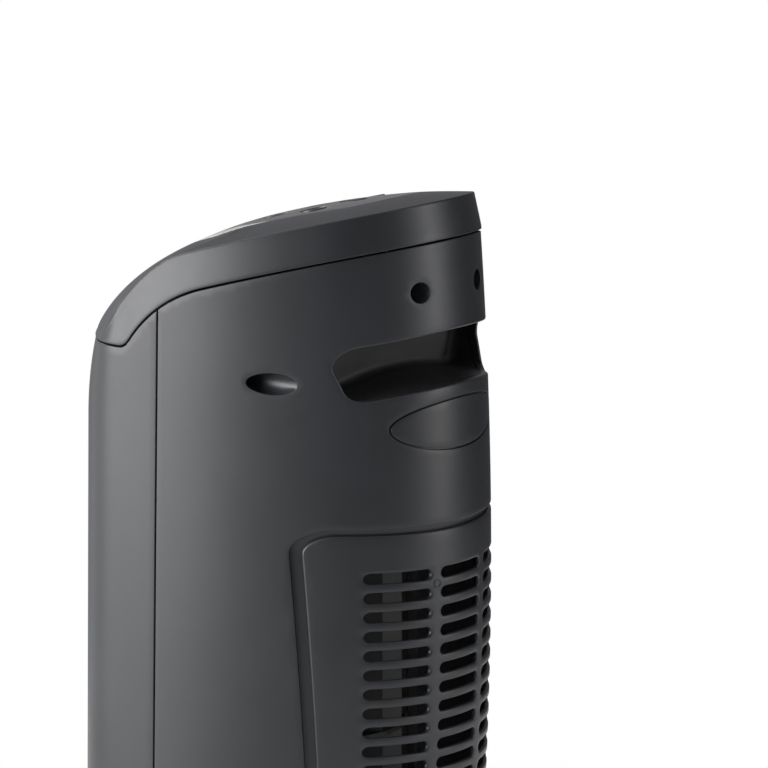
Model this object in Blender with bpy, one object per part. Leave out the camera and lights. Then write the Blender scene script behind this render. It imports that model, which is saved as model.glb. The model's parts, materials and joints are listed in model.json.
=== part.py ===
"""Ceramic tower heater that turns on a round base. Metres, +Z up, front at -Y, origin under its middle.

The tower's skin is one loft. Its outline is made of tangent arcs, and its front leans back into a hood.
Shells, panels and plates are cut from that loft, so they meet along the same surface.
"""

import math

import bmesh
import bpy
from mathutils import Matrix, Vector

for old in list(bpy.data.objects):
    bpy.data.objects.remove(old, do_unlink=True)

# Driving sizes
TOWER_HALF_WIDTH = 0.0787      # at WIDTH_HEIGHT
TOWER_BACK = 0.0859            # from the turning axis to the back, where it bulges most
TOWER_FRONT = 0.0893           # from the turning axis to the front
FRONT_DEPTH = 0.0523           # from the widest line to the front
TOWER_LOW = 0.046
TOP_HEIGHT = 0.389             # ridge height over the turning axis
WIDTH_DROP = 0.134             # from there down to where the half width is measured
WIDTH_HEIGHT = TOP_HEIGHT - WIDTH_DROP
WIDTH_GROWTH = 0.025           # half width gained for each unit of height going down
BOW_DROP = 0.129               # down to where the back bulges most
BOW_HEIGHT = TOP_HEIGHT - BOW_DROP
BOW_DEPTH = 0.01487
BOW_RADIUS = (BOW_HEIGHT - TOWER_LOW) ** 2 / (2 * BOW_DEPTH)
HOOD_RADIUS = 0.0777
HOOD_START = TOP_HEIGHT - HOOD_RADIUS    # the front leans back above this
LEAN_POWER = 2                 # how fast the lean fades from the widest line to the back
HOOD_SHARE = 0.95              # the hood's arc stops at this share of its radius
TOP_SLOPE = 0.298
TOP_BOW_RADIUS = 1.15
CROWN = 0.0081                 # rise of the top's middle over its ridge
CROWN_CENTRE = -0.0125         # the top stands proudest here, and its outlines shrink towards it

# Common walls and gaps
WALL = 0.003
GAP = 0.0003                   # between seated pieces
SHELL_SPLIT = -0.0158          # plane between the front and the rear shell
SPLIT_GAP = 0.0006
SEAM_GAP = 0.0008              # between cap and shells, measured upright
OVERRUN = 0.004                # cutters pass the surface by this

# Outline: normal angle from the back where each arc ends, its radius as a share of the half width
ARC_SHARES = ((45, 0.69), (60, 1.18), (90, 2.44), (130, 0.41))
ARC_STEPS = (3, 1, 3, 3, 3)
SKIN_STEPS = 4
HOOD_STEPS = 5
ROUND = 20
FLAT_DEGREES = 0.6


def material(name, colour, roughness, metallic=0.0):
    made = bpy.data.materials.new(name)
    made.use_nodes = True
    made.diffuse_color = (*colour, 1)
    shader = made.node_tree.nodes["Principled BSDF"]
    shader.inputs["Base Color"].default_value = (*colour, 1)
    shader.inputs["Roughness"].default_value = roughness
    shader.inputs["Metallic"].default_value = metallic
    return made


CHARCOAL = material("charcoal_plastic", (0.075, 0.077, 0.084), 0.48)
PANEL_GREY = material("glossy_grey_plastic", (0.10, 0.098, 0.095), 0.22)
BLACK = material("black_plastic", (0.015, 0.015, 0.017), 0.5)
SILVER = material("silver_plastic", (0.55, 0.54, 0.50), 0.25, 0.3)
LENS = material("smoked_lens", (0.01, 0.01, 0.012), 0.08)
RUBBER = material("rubber", (0.02, 0.02, 0.02), 0.8)
STEEL = material("steel", (0.55, 0.55, 0.57), 0.35, 1.0)
ALUMINIUM = material("aluminium", (0.75, 0.75, 0.76), 0.4, 1.0)
NYLON = material("white_nylon", (0.75, 0.74, 0.70), 0.5)
BOARD = material("circuit_board", (0.03, 0.16, 0.07), 0.45)


# Meshes, cutters and Booleans
def add(name, bm, finish=None, smooth_degrees=30):
    """Makes the object. With no finish it is a cutter or a guide, which is left out of a render."""
    bmesh.ops.recalc_face_normals(bm, faces=bm.faces)
    mesh = bpy.data.meshes.new(name)
    bm.to_mesh(mesh)
    bm.free()
    mesh.shade_smooth()
    mesh.set_sharp_from_angle(angle=math.radians(smooth_degrees))
    made = bpy.data.objects.new(name, mesh)
    bpy.context.collection.objects.link(made)
    if finish is None:
        made.hide_render = True
        made.display_type = "WIRE"
    else:
        mesh.materials.append(finish)
    return made


def boolean(target, operation, *others):
    for other in others:
        step = target.modifiers.new(f"{operation.lower()} {other.name}", "BOOLEAN")
        step.operation = operation
        step.solver = "EXACT"
        step.object = other
    return target


def cut(target, *others):
    return boolean(target, "DIFFERENCE", *others)


def join(target, *others):
    return boolean(target, "UNION", *others)


def keep_inside(target, *others):
    return boolean(target, "INTERSECT", *others)


def merge_flat_faces(target):
    """Drops the edges that the cuts left inside faces that are flat to within a degree or so."""
    step = target.modifiers.new("merge flat faces", "DECIMATE")
    step.decimate_type = "DISSOLVE"
    step.angle_limit = math.radians(FLAT_DEGREES)
    return target


AXES = {"X": (1, 2, 0), "Y": (0, 2, 1), "Z": (0, 1, 2)}


def add_prism(bm, outline, axis, low, high):
    """Extrudes a flat outline along one axis. Its two coordinates are the other axes, in X, Y, Z order."""
    first, second, along = AXES[axis]
    rings = []
    for height in (low, high):
        ring = []
        for u, v in outline:
            place = [0.0, 0.0, 0.0]
            place[first], place[second], place[along] = u, v, height
            ring.append(bm.verts.new(place))
        rings.append(ring)
    bm.faces.new(rings[0])
    bm.faces.new(rings[1][::-1])
    for index in range(len(outline)):
        after = (index + 1) % len(outline)
        bm.faces.new((rings[0][index], rings[0][after], rings[1][after], rings[1][index]))


def prisms(name, outlines, axis, low, high, finish=None):
    bm = bmesh.new()
    for outline in outlines:
        add_prism(bm, outline, axis, low, high)
    return add(name, bm, finish)


def prism(name, outline, axis, low, high, finish=None):
    return prisms(name, [outline], axis, low, high, finish)


def box_outline(u_low, u_high, v_low, v_high):
    return [(u_low, v_low), (u_high, v_low), (u_high, v_high), (u_low, v_high)]


def circle_outline(radius, u=0.0, v=0.0, steps=ROUND):
    turns = [2 * math.pi * (step + 0.5) / steps for step in range(steps)]
    return [(u + radius * math.cos(turn), v + radius * math.sin(turn)) for turn in turns]


def ellipse_outline(u_radius, v_radius, v=0.0, steps=22):
    turns = [2 * math.pi * (step + 0.5) / steps for step in range(steps)]
    return [(u_radius * math.cos(turn), v + v_radius * math.sin(turn)) for turn in turns]


def rounded_outline(corners, radius, steps=3):
    """Rounds each corner of a convex outline with an arc."""
    points = []
    for index, corner in enumerate(corners):
        here = Vector(corner)
        to_last = (Vector(corners[index - 1]) - here).normalized()
        to_next = (Vector(corners[(index + 1) % len(corners)]) - here).normalized()
        half = to_last.angle(to_next) / 2
        centre = here + (to_last + to_next).normalized() * (radius / math.sin(half))
        start = here + to_last * (radius / math.tan(half)) - centre
        turn = start.angle_signed(here + to_next * (radius / math.tan(half)) - centre)
        for step in range(steps + 1):
            angle = -turn * step / steps
            swung = Matrix.Rotation(angle, 2) @ start
            points.append(tuple(centre + swung))
    return points


def lathe(name, profile, finish=None, steps=ROUND, place=None):
    """Turns a closed profile of (radius, height) points about Z. A point on the axis closes the solid."""
    bm = bmesh.new()
    verts = [bm.verts.new((radius, 0, height)) for radius, height in profile]
    edges = [bm.edges.new((verts[index - 1], verts[index])) for index in range(len(verts))]
    bmesh.ops.spin(bm, geom=verts + edges, cent=(0, 0, 0), axis=(0, 0, 1), angle=2 * math.pi, steps=steps)
    bmesh.ops.remove_doubles(bm, verts=bm.verts, dist=GAP / ROUND)
    loose = [edge for edge in bm.edges if not edge.link_faces]
    bmesh.ops.delete(bm, geom=loose, context="EDGES")
    made = add(name, bm, finish)
    if place is not None:
        made.matrix_world = place
    return made


def tube(name, outer, inner, low, high, finish=None, steps=ROUND, place=None):
    profile = [(outer, low), (outer, high), (inner, high), (inner, low)]
    return lathe(name, profile, finish, steps, place)


def rod(name, radius, low, high, finish=None, steps=ROUND, place=None):
    return lathe(name, [(0.0, low), (radius, low), (radius, high), (0.0, high)], finish, steps, place)


def along_y(x, y, z):
    """Places a turned piece so that its own +Z points to the back."""
    return Matrix.Translation((x, y, z)) @ Matrix.Rotation(-math.pi / 2, 4, "X")


# The tower's skin
def outline_columns():
    """(outward x, outward y, x share, y share) round the tower. The y share is 1 at the back, 0 at
    the widest line and -1 at the front."""
    arcs = []
    start, x, y = 0, 0.0, 0.0
    for end, radius in ARC_SHARES:
        arcs.append((start, end, radius, x, y))
        x += radius * (math.sin(math.radians(end)) - math.sin(math.radians(start)))
        y -= radius * (math.cos(math.radians(start)) - math.cos(math.radians(end)))
        start = end
    arcs.append((start, 180, x / math.sin(math.radians(start)), x, y))
    half = []
    for (begin, end, radius, x, y), steps in zip(arcs, ARC_STEPS):
        for step in range(steps):
            angle = math.radians(begin + (end - begin) * step / steps)
            across = x + radius * (math.sin(angle) - math.sin(math.radians(begin)))
            back = y - radius * (math.cos(math.radians(begin)) - math.cos(angle))
            half.append((angle, across, back))
    last_radius, last_y = arcs[-1][2], arcs[-1][4]
    front = last_y - last_radius * (math.cos(math.radians(arcs[-1][0])) + 1)
    half.append((math.pi, 0.0, front))
    widest_x, widest_y = arcs[3][3], arcs[3][4]
    shares = []
    for angle, across, back in half:
        reach = -widest_y if back >= widest_y else widest_y - front
        shares.append((math.sin(angle), math.cos(angle), across / widest_x, (back - widest_y) / reach))
    mirrored = [(-nx, ny, -x_share, y_share) for nx, ny, x_share, y_share in shares[-2:0:-1]]
    return shares + mirrored


COLUMNS = outline_columns()


def half_width(z):
    return TOWER_HALF_WIDTH + (WIDTH_HEIGHT - z) * WIDTH_GROWTH


def back_line(z):
    return TOWER_BACK - (z - BOW_HEIGHT) ** 2 / (2 * BOW_RADIUS)


def hood_lean(z):
    share = min(max((z - HOOD_START) / HOOD_RADIUS, 0.0), HOOD_SHARE)
    return HOOD_RADIUS * (1 - math.sqrt(1 - share * share))


def skin_point(column, z, offset=0.0):
    """The front leans back as one. Behind the widest line the lean fades out towards the back."""
    nx, ny, x_share, y_share = column
    widest = FRONT_DEPTH - TOWER_FRONT
    reach = back_line(z) - widest if y_share >= 0 else FRONT_DEPTH
    lean = hood_lean(z) * min(1 - y_share, 1) ** LEAN_POWER
    y = widest + y_share * reach + lean + ny * offset
    return Vector((x_share * half_width(z) + nx * offset, y, z))


def top_line(y):
    return TOP_HEIGHT + TOP_SLOPE * y - y * y / (2 * TOP_BOW_RADIUS)


def stack(name, rings, finish=None, closed_loop=False):
    """Joins rings of equal length by faces. A closed loop of rings is a ring-shaped solid."""
    bm = bmesh.new()
    made = [[bm.verts.new(point) for point in ring] for ring in rings]
    pairs = list(zip(made, made[1:]))
    if closed_loop:
        pairs.append((made[-1], made[0]))
    else:
        bm.faces.new(made[0][::-1])
        bm.faces.new(made[-1])
    for low, high in pairs:
        for index in range(len(low)):
            after = (index + 1) % len(low)
            bm.faces.new((low[index], low[after], high[after], high[index]))
    return add(name, bm, finish)


SKIN_TOP = HOOD_START + HOOD_RADIUS


def skin_loft(name, offset, low, high=SKIN_TOP + OVERRUN, finish=None):
    """The tower's whole solid, grown by an offset, between two heights."""
    heights = [low] if low < TOWER_LOW else []
    heights += [TOWER_LOW + (HOOD_START - TOWER_LOW) * step / SKIN_STEPS for step in range(SKIN_STEPS)]
    for step in range(HOOD_STEPS + 1):
        share = HOOD_SHARE * math.sin(math.pi / 2 * step / HOOD_STEPS)
        heights.append(HOOD_START + HOOD_RADIUS * share)
    heights.append(high)
    return stack(name, [[skin_point(column, z, offset) for column in COLUMNS] for z in heights], finish)


# The seam under the cap
BAND_HEIGHT = 0.0167           # from the seam up to the ridge
HIP_START = 0.005              # the seam leaves the band here
HIP_RADIUS = 0.066
HIP_ANGLE = 55                 # degrees below level, at its steepest
FOOT_RADIUS = 0.0063
SEAM_STEPS = 6
REACH = 2 * TOWER_FRONT        # far enough to pass the whole tower


def seam_curve(shift):
    """(y, z) points of the cap's lower edge, from front to back, moved up by shift."""
    start = math.atan(TOP_SLOPE - HIP_START / TOP_BOW_RADIUS)
    steepest = math.radians(HIP_ANGLE)
    y, z = HIP_START, top_line(HIP_START) - BAND_HEIGHT
    hip = []
    for step in range(1, SEAM_STEPS + 1):
        angle = start + (steepest - start) * step / SEAM_STEPS
        down = HIP_RADIUS * (math.cos(start) - math.cos(angle))
        hip.append((y - HIP_RADIUS * (math.sin(angle) - math.sin(start)), z - down))
    y, z = hip[-1]
    foot = []
    for step in range(1, SEAM_STEPS + 1):
        angle = steepest * (1 - step / SEAM_STEPS)
        down = FOOT_RADIUS * (math.cos(angle) - math.cos(steepest))
        foot.append((y - FOOT_RADIUS * (math.sin(steepest) - math.sin(angle)), z - down))
    spans = [HIP_START + (REACH - HIP_START) * step / SEAM_STEPS for step in range(SEAM_STEPS + 1)]
    rear = [(span, top_line(span) - BAND_HEIGHT) for span in spans]
    points = [(-REACH, foot[-1][1])] + foot[::-1] + hip[::-1] + rear
    return [(y, z + shift) for y, z in points]


def above_seam(name, shift):
    curve = seam_curve(shift)
    roof = 2 * TOP_HEIGHT
    return prism(name, curve + [(REACH, roof), (-REACH, roof)], "X", -REACH, REACH)


def below_seam(name, shift):
    curve = seam_curve(shift)
    return prism(name, curve + [(REACH, 0.0), (-REACH, 0.0)], "X", -REACH, REACH)


# Rear shell and what is let into it
SCREW_WELL_X = 0.0190
SCREW_WELL_DROP = 0.0159       # below the ridge height over the axis
SCREW_WELL_Z = TOP_HEIGHT - SCREW_WELL_DROP
SCREW_WELL_RADIUS = 0.00435
SCREW_WELL_FLOOR = 0.066       # inner end of the upper wells
SIDE_WELL_X = 0.0630
SIDE_WELL_DROP = 0.0523
SIDE_WELL_Z = TOP_HEIGHT - SIDE_WELL_DROP
SIDE_WELL_RADIUS = 0.0045
SIDE_WELL_FLOOR = 0.004
WELL_WALL = 0.0019
SCREW_SHANK = 0.0015
SCREW_HEAD = 0.0034
SCREW_HEAD_HEIGHT = 0.0024
SCREW_LENGTH = 0.011
SCREW_HOLE = SCREW_SHANK + 1.5 * GAP

HANDLE_HALF_TOP = 0.0500
HANDLE_HALF_LOW = 0.0440
HANDLE_DROP = 0.0395           # below the ridge height, to the opening's upper corners
HANDLE_HEIGHT = 0.0225
HANDLE_ARCH = 0.0065           # both long edges arch up by this in the middle
HANDLE_SPANS = 5               # straight parts of each long edge
HANDLE_HIGH = TOP_HEIGHT - HANDLE_DROP
HANDLE_LOW = HANDLE_HIGH - HANDLE_HEIGHT
HANDLE_ROUND = 0.007
HANDLE_FLOOR = 0.044           # bottom of the finger pocket, from the axis
POCKET_WALL = 0.002

OVAL_HALF_WIDTH = 0.033
OVAL_HALF_HEIGHT = 0.0101
OVAL_DROP = 0.0098             # from the handle's lower corners to the oval's middle
OVAL_HEIGHT = HANDLE_LOW - OVAL_DROP
OVAL_GROOVE = 0.0008
OVAL_THICKNESS = 0.0010

INTAKE_DROP = 0.1129           # from the ridge height to the groove's outer edge
INTAKE_HIGH = TOP_HEIGHT - INTAKE_DROP
INTAKE_LOW = 0.1280
INTAKE_HALF_TOP = 0.0598
INTAKE_HALF_LOW = 0.0554
INTAKE_ROUND = 0.0105
INTAKE_GROOVE = 0.0026
INTAKE_LEDGE = 0.0030          # the shell reaches this far under the panel
INTAKE_THICKNESS = 0.0015
SLOT_MARGIN = 0.0208           # from the groove's outer edge to the middle of the nearest row
SLOT_TOP = INTAKE_HIGH - SLOT_MARGIN
SLOT_PITCH = 0.0082
SLOT_ROWS = 1 + round((SLOT_TOP - INTAKE_LOW - SLOT_MARGIN) / SLOT_PITCH)
SLOT_HEIGHT = 0.0046
SLOT_MIDDLE_HALF = 0.0126      # half length of the middle column's slots
SLOT_RIB = 0.0047              # between columns
SLOT_SIDE_LENGTH = 0.0249
SLOT_INNER = SLOT_MIDDLE_HALF + SLOT_RIB
SLOT_OUTER = SLOT_INNER + SLOT_SIDE_LENGTH
SLOT_SPANS = (
    (-SLOT_OUTER, -SLOT_INNER),
    (-SLOT_MIDDLE_HALF, SLOT_MIDDLE_HALF),
    (SLOT_INNER, SLOT_OUTER),
)
SLOT_ROUND_STEPS = 3


def handle_outline(grow):
    """A rounded strip whose long edges arch up together."""
    corners = [
        (-HANDLE_HALF_LOW - grow, HANDLE_LOW - grow),
        (HANDLE_HALF_LOW + grow, HANDLE_LOW - grow),
        (HANDLE_HALF_TOP + grow, HANDLE_HIGH + grow),
        (-HANDLE_HALF_TOP - grow, HANDLE_HIGH + grow),
    ]
    strip = rounded_outline(corners, HANDLE_ROUND + grow)
    ring = []
    for (x, z), (next_x, next_z) in zip(strip, strip[1:] + strip[:1]):
        spans = HANDLE_SPANS if abs(next_x - x) > HANDLE_HALF_LOW else 1
        for step in range(spans):
            ring.append((x + (next_x - x) * step / spans, z + (next_z - z) * step / spans))
    return [(x, z + HANDLE_ARCH * (1 - (x / HANDLE_HALF_TOP) ** 2)) for x, z in ring]


def intake_outline(inset):
    corners = [
        (-INTAKE_HALF_LOW + inset, INTAKE_LOW + inset),
        (INTAKE_HALF_LOW - inset, INTAKE_LOW + inset),
        (INTAKE_HALF_TOP - inset, INTAKE_HIGH - inset),
        (-INTAKE_HALF_TOP + inset, INTAKE_HIGH - inset),
    ]
    return rounded_outline(corners, INTAKE_ROUND - inset)


def slot_outline(low, high, middle, height):
    radius = height / 2
    points = []
    for centre, start in ((high - radius, -90), (low + radius, 90)):
        for step in range(SLOT_ROUND_STEPS + 1):
            turn = math.radians(start + 180 * step / SLOT_ROUND_STEPS)
            points.append((centre + radius * math.cos(turn), middle + radius * math.sin(turn)))
    return points


def rear_wells(name, grow, upper_floor, side_floor):
    """Two rods below the cap and two that break out through the sides, all along Y."""
    bm = bmesh.new()
    for side in (-1, 1):
        upper = circle_outline(SCREW_WELL_RADIUS + grow, side * SCREW_WELL_X, SCREW_WELL_Z, 10)
        add_prism(bm, upper, "Y", upper_floor, TOWER_BACK + OVERRUN)
        flank = circle_outline(SIDE_WELL_RADIUS + grow, side * SIDE_WELL_X, SIDE_WELL_Z, 10)
        add_prism(bm, flank, "Y", side_floor, TOWER_BACK + OVERRUN)
    return add(name, bm)


def screw_holes(name):
    bm = bmesh.new()
    for side in (-1, 1):
        upper = circle_outline(SCREW_HOLE, side * SCREW_WELL_X, SCREW_WELL_Z, 8)
        add_prism(bm, upper, "Y", SCREW_WELL_FLOOR - SCREW_LENGTH - OVERRUN, TOWER_BACK)
        flank = circle_outline(SCREW_HOLE, side * SIDE_WELL_X, SIDE_WELL_Z, 8)
        add_prism(bm, flank, "Y", SIDE_WELL_FLOOR - SCREW_LENGTH - OVERRUN, TOWER_BACK)
    return add(name, bm)


def outer_skin(name, finish):
    return skin_loft(name, 0.0, TOWER_LOW, finish=finish)


def half_space(name, low, high):
    return prism(name, box_outline(-REACH, REACH, low, high), "Z", -OVERRUN, 2 * TOP_HEIGHT)


def surface_pocket(name, outline, depth):
    """Cuts the skin to a depth inside an outline seen from the back."""
    pocket = prism(name, outline, "Y", 0.0, TOWER_BACK + OVERRUN)
    return cut(pocket, skin_loft(f"{name}_floor", -depth, -OVERRUN))


def rear_shell():
    cavity = skin_loft("rear_cavity", -WALL, -OVERRUN)
    cut(cavity, rear_wells("rear_well_walls", WELL_WALL, SCREW_WELL_FLOOR, SIDE_WELL_FLOOR))
    shell = outer_skin("rear_shell", CHARCOAL)
    cut(
        shell,
        cavity,
        half_space("front_of_split", -REACH, SHELL_SPLIT + SPLIT_GAP / 2),
        above_seam("over_seam", -SEAM_GAP / 2),
        prism("intake_hole", intake_outline(INTAKE_GROOVE + INTAKE_LEDGE), "Y", 0.0, TOWER_BACK + OVERRUN),
        surface_pocket("intake_rebate", intake_outline(0.0), INTAKE_THICKNESS + GAP),
        surface_pocket(
            "oval_rebate",
            ellipse_outline(OVAL_HALF_WIDTH + OVAL_GROOVE, OVAL_HALF_HEIGHT + OVAL_GROOVE, OVAL_HEIGHT),
            OVAL_THICKNESS + GAP,
        ),
        prism("handle_hole", handle_outline(0.0), "Y", 0.0, TOWER_BACK + OVERRUN),
        rear_wells("rear_wells", 0.0, SCREW_WELL_FLOOR + WELL_WALL, SIDE_WELL_FLOOR + WELL_WALL),
        screw_holes("rear_screw_holes"),
    )
    merge_flat_faces(shell)


def handle_pocket():
    low = HANDLE_FLOOR - POCKET_WALL
    pocket = prism("handle_pocket", handle_outline(POCKET_WALL), "Y", low, TOWER_BACK, BLACK)
    keep_inside(pocket, skin_loft("inside_shell", -WALL - GAP, -OVERRUN))
    cut(pocket, prism("finger_room", handle_outline(0.0), "Y", HANDLE_FLOOR, TOWER_BACK + OVERRUN))
    merge_flat_faces(pocket)


def oval_plate():
    outline = ellipse_outline(OVAL_HALF_WIDTH, OVAL_HALF_HEIGHT, OVAL_HEIGHT)
    plate = prism("oval_plate", outline, "Y", 0.0, REACH, CHARCOAL)
    keep_inside(plate, skin_loft("oval_face", 0.0, -OVERRUN))
    cut(plate, skin_loft("oval_back", -OVAL_THICKNESS, -OVERRUN))
    merge_flat_faces(plate)


def intake_panel():
    panel = prism("intake_panel", intake_outline(INTAKE_GROOVE), "Y", 0.0, REACH, CHARCOAL)
    keep_inside(panel, skin_loft("intake_face", 0.0, -OVERRUN))
    rows = [SLOT_TOP - SLOT_PITCH * row for row in range(SLOT_ROWS)]
    slots = [slot_outline(low, high, row, SLOT_HEIGHT) for row in rows for low, high in SLOT_SPANS]
    cut(
        panel,
        skin_loft("intake_back", -INTAKE_THICKNESS, -OVERRUN),
        prisms("intake_slots", slots, "Y", 0.0, TOWER_BACK + OVERRUN),
    )
    merge_flat_faces(panel)


def screw(name, x, seat, z):
    """Pan-head screw along Y, its head seated on the floor of a well."""
    head = seat + GAP
    profile = [
        (0.0, head - SCREW_LENGTH),
        (SCREW_SHANK, head - SCREW_LENGTH),
        (SCREW_SHANK, head),
        (SCREW_HEAD, head),
        (SCREW_HEAD, head + SCREW_HEAD_HEIGHT * 0.6),
        (SCREW_HEAD * 0.7, head + SCREW_HEAD_HEIGHT),
        (0.0, head + SCREW_HEAD_HEIGHT),
    ]
    lathe(name, profile, STEEL, 8, along_y(x, 0.0, z))


def screws():
    for side, word in ((-1, "right"), (1, "left")):
        screw(f"upper_screw_{word}", side * SCREW_WELL_X, SCREW_WELL_FLOOR + WELL_WALL, SCREW_WELL_Z)
        screw(f"side_screw_{word}", side * SIDE_WELL_X, SIDE_WELL_FLOOR + WELL_WALL, SIDE_WELL_Z)


# Front shell and grille
GRILLE_HALF_WIDTH = 0.050
GRILLE_LOW = 0.086
GRILLE_DROP = 0.014            # from the hood's start to the grille's top
GRILLE_HIGH = HOOD_START - GRILLE_DROP
GRILLE_ROUND = 0.012
GRILLE_GROOVE = 0.0008
GRILLE_THICKNESS = 0.0018
LOUVRE_PITCH = 0.0160
LOUVRE_SLOT = 0.0095
LOUVRE_ROWS = int((GRILLE_HIGH - GRILLE_LOW - LOUVRE_PITCH) / LOUVRE_PITCH)
LOUVRE_EDGE = 0.0060           # from the grille's side to its slots
LOUVRE_RIB = 0.0050
LOUVRE_OUTER = GRILLE_HALF_WIDTH - LOUVRE_EDGE
LOUVRE_SPANS = ((-LOUVRE_OUTER, -LOUVRE_RIB / 2), (LOUVRE_RIB / 2, LOUVRE_OUTER))
BOSS_RADIUS = 0.0048
BOSS_FRONT = -0.045
RIB_HALF = 0.0012


def grille_outline(inset):
    half = GRILLE_HALF_WIDTH - inset
    corners = box_outline(-half, half, GRILLE_LOW + inset, GRILLE_HIGH - inset)
    return rounded_outline(corners, GRILLE_ROUND - inset)


def front_shell():
    shell = outer_skin("front_shell", CHARCOAL)
    rebate = prism("grille_rebate", grille_outline(0.0), "Y", -TOWER_FRONT - OVERRUN, 0.0)
    cut(rebate, skin_loft("grille_rebate_floor", -GRILLE_THICKNESS - GAP, -OVERRUN))
    cut(
        shell,
        skin_loft("front_cavity", -WALL, -OVERRUN),
        half_space("back_of_split", SHELL_SPLIT - SPLIT_GAP / 2, REACH),
        above_seam("over_front_seam", -SEAM_GAP / 2),
        prism("grille_hole", grille_outline(INTAKE_LEDGE), "Y", -TOWER_FRONT - OVERRUN, 0.0),
        rebate,
    )
    bosses = bmesh.new()
    ribs = bmesh.new()
    for side in (-1, 1):
        ring = circle_outline(BOSS_RADIUS, side * SIDE_WELL_X, SIDE_WELL_Z, 10)
        add_prism(bosses, ring, "Y", BOSS_FRONT, SIDE_WELL_FLOOR - GAP)
        wall_x = half_width(SIDE_WELL_Z) - WALL / 2
        low, high = sorted((side * SIDE_WELL_X, side * wall_x))
        rib = box_outline(low, high, SIDE_WELL_Z - RIB_HALF, SIDE_WELL_Z + RIB_HALF)
        add_prism(ribs, rib, "Y", BOSS_FRONT + RIB_HALF, SHELL_SPLIT - SPLIT_GAP)
    join(shell, add("boss_rods", bosses), add("boss_ribs", ribs))
    cut(shell, screw_holes("front_screw_holes"))
    merge_flat_faces(shell)


def front_grille():
    grille = prism("front_grille", grille_outline(GRILLE_GROOVE), "Y", -REACH, 0.0, BLACK)
    keep_inside(grille, skin_loft("grille_face", 0.0, -OVERRUN))
    middle = (GRILLE_LOW + GRILLE_HIGH) / 2
    rows = [middle + LOUVRE_PITCH * (row - (LOUVRE_ROWS - 1) / 2) for row in range(LOUVRE_ROWS)]
    half = LOUVRE_SLOT / 2
    slots = [box_outline(low, high, row - half, row + half) for row in rows for low, high in LOUVRE_SPANS]
    cut(
        grille,
        skin_loft("grille_back", -GRILLE_THICKNESS, -OVERRUN),
        prisms("louvre_slots", slots, "Y", -TOWER_FRONT - OVERRUN, 0.0),
    )
    merge_flat_faces(grille)


# Cap, trim and control panel
CAP_OVERHANG = 0.0004
CAP_DRAFT = 0.0020             # the band leans in by this up to the ridge
CAP_SKIRT_RISE = 0.027
CAP_SKIRT = HOOD_START + CAP_SKIRT_RISE    # the cap's loft starts here and is then cut along the seam
RIDGE_ROUND = 0.0009
OPENING_SHARE = 0.705          # the opening's edge at the back, as a share of the way out to the ridge
PANEL_NARROWING = 0.229        # the control panel's share falls by this round the front
PANEL_TURN = (41, 115)         # degrees of the outline's normal, from the start to the whole of it
TRIM_SHARE = 0.206             # width of the trim crescent at the front
TRIM_TURN = (72, 112)
TRIM_TIP = 2                   # degrees from the start to the crescent's tip
PANEL_THICKNESS = 0.0020
PANEL_PARTS = (0.25, 0.6, 1.0)    # rings of the panel, as parts of the way to its edge
LEDGE_SHARE = 0.06
LEDGE_THICKNESS = 0.0018
TOP_SHARES = (0.90, 0.78)
POST_HALF = 0.0048
POST_DROP = 0.0070             # below the screw
POST_LOW = SCREW_WELL_Z - POST_DROP
POST_DEPTH = 0.0075


def ridge_point(column, offset):
    """Where a column of the skin meets the sloped top."""
    low, high = HOOD_START, TOP_HEIGHT + TOWER_BACK
    while high - low > GAP / ROUND:
        middle = (low + high) / 2
        point = skin_point(column, middle, offset)
        if middle < top_line(point.y):
            low = middle
        else:
            high = middle
    return skin_point(column, low, offset)


RIDGE = [ridge_point(column, CAP_OVERHANG - CAP_DRAFT) for column in COLUMNS]


def top_point(ridge, share, depth=0.0):
    y = CROWN_CENTRE + (ridge.y - CROWN_CENTRE) * share
    return Vector((ridge.x * share, y, top_line(y) + CROWN * (1 - share * share) - depth))


def top_surface(x, y):
    """Height of the crowned top over a point inside the ridge."""
    bearing = math.atan2(x, y - CROWN_CENTRE)
    best = min(RIDGE, key=lambda ridge: abs(math.atan2(ridge.x, ridge.y - CROWN_CENTRE) - bearing))
    reach = math.hypot(best.x, best.y - CROWN_CENTRE)
    share = math.hypot(x, y - CROWN_CENTRE) / reach
    return top_line(y) + CROWN * (1 - share * share)


def normal_angle(column):
    return math.degrees(math.acos(max(-1.0, min(1.0, column[1]))))


def turned(column, turn):
    """Rises from 0 to 1 while the outline's normal turns from one angle to the other."""
    start, end = turn
    ramp = min(max((normal_angle(column) - start) / (end - start), 0.0), 1.0)
    return math.sin(ramp * math.pi / 2)


def panel_share(column):
    """The control panel's edge. It draws in round the front and leaves room for the trim crescent."""
    return OPENING_SHARE - PANEL_NARROWING * turned(column, PANEL_TURN)


def opening_share(column):
    return panel_share(column) + TRIM_SHARE * turned(column, TRIM_TURN)


GAP_SHARE = GAP / TOWER_HALF_WIDTH


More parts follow.
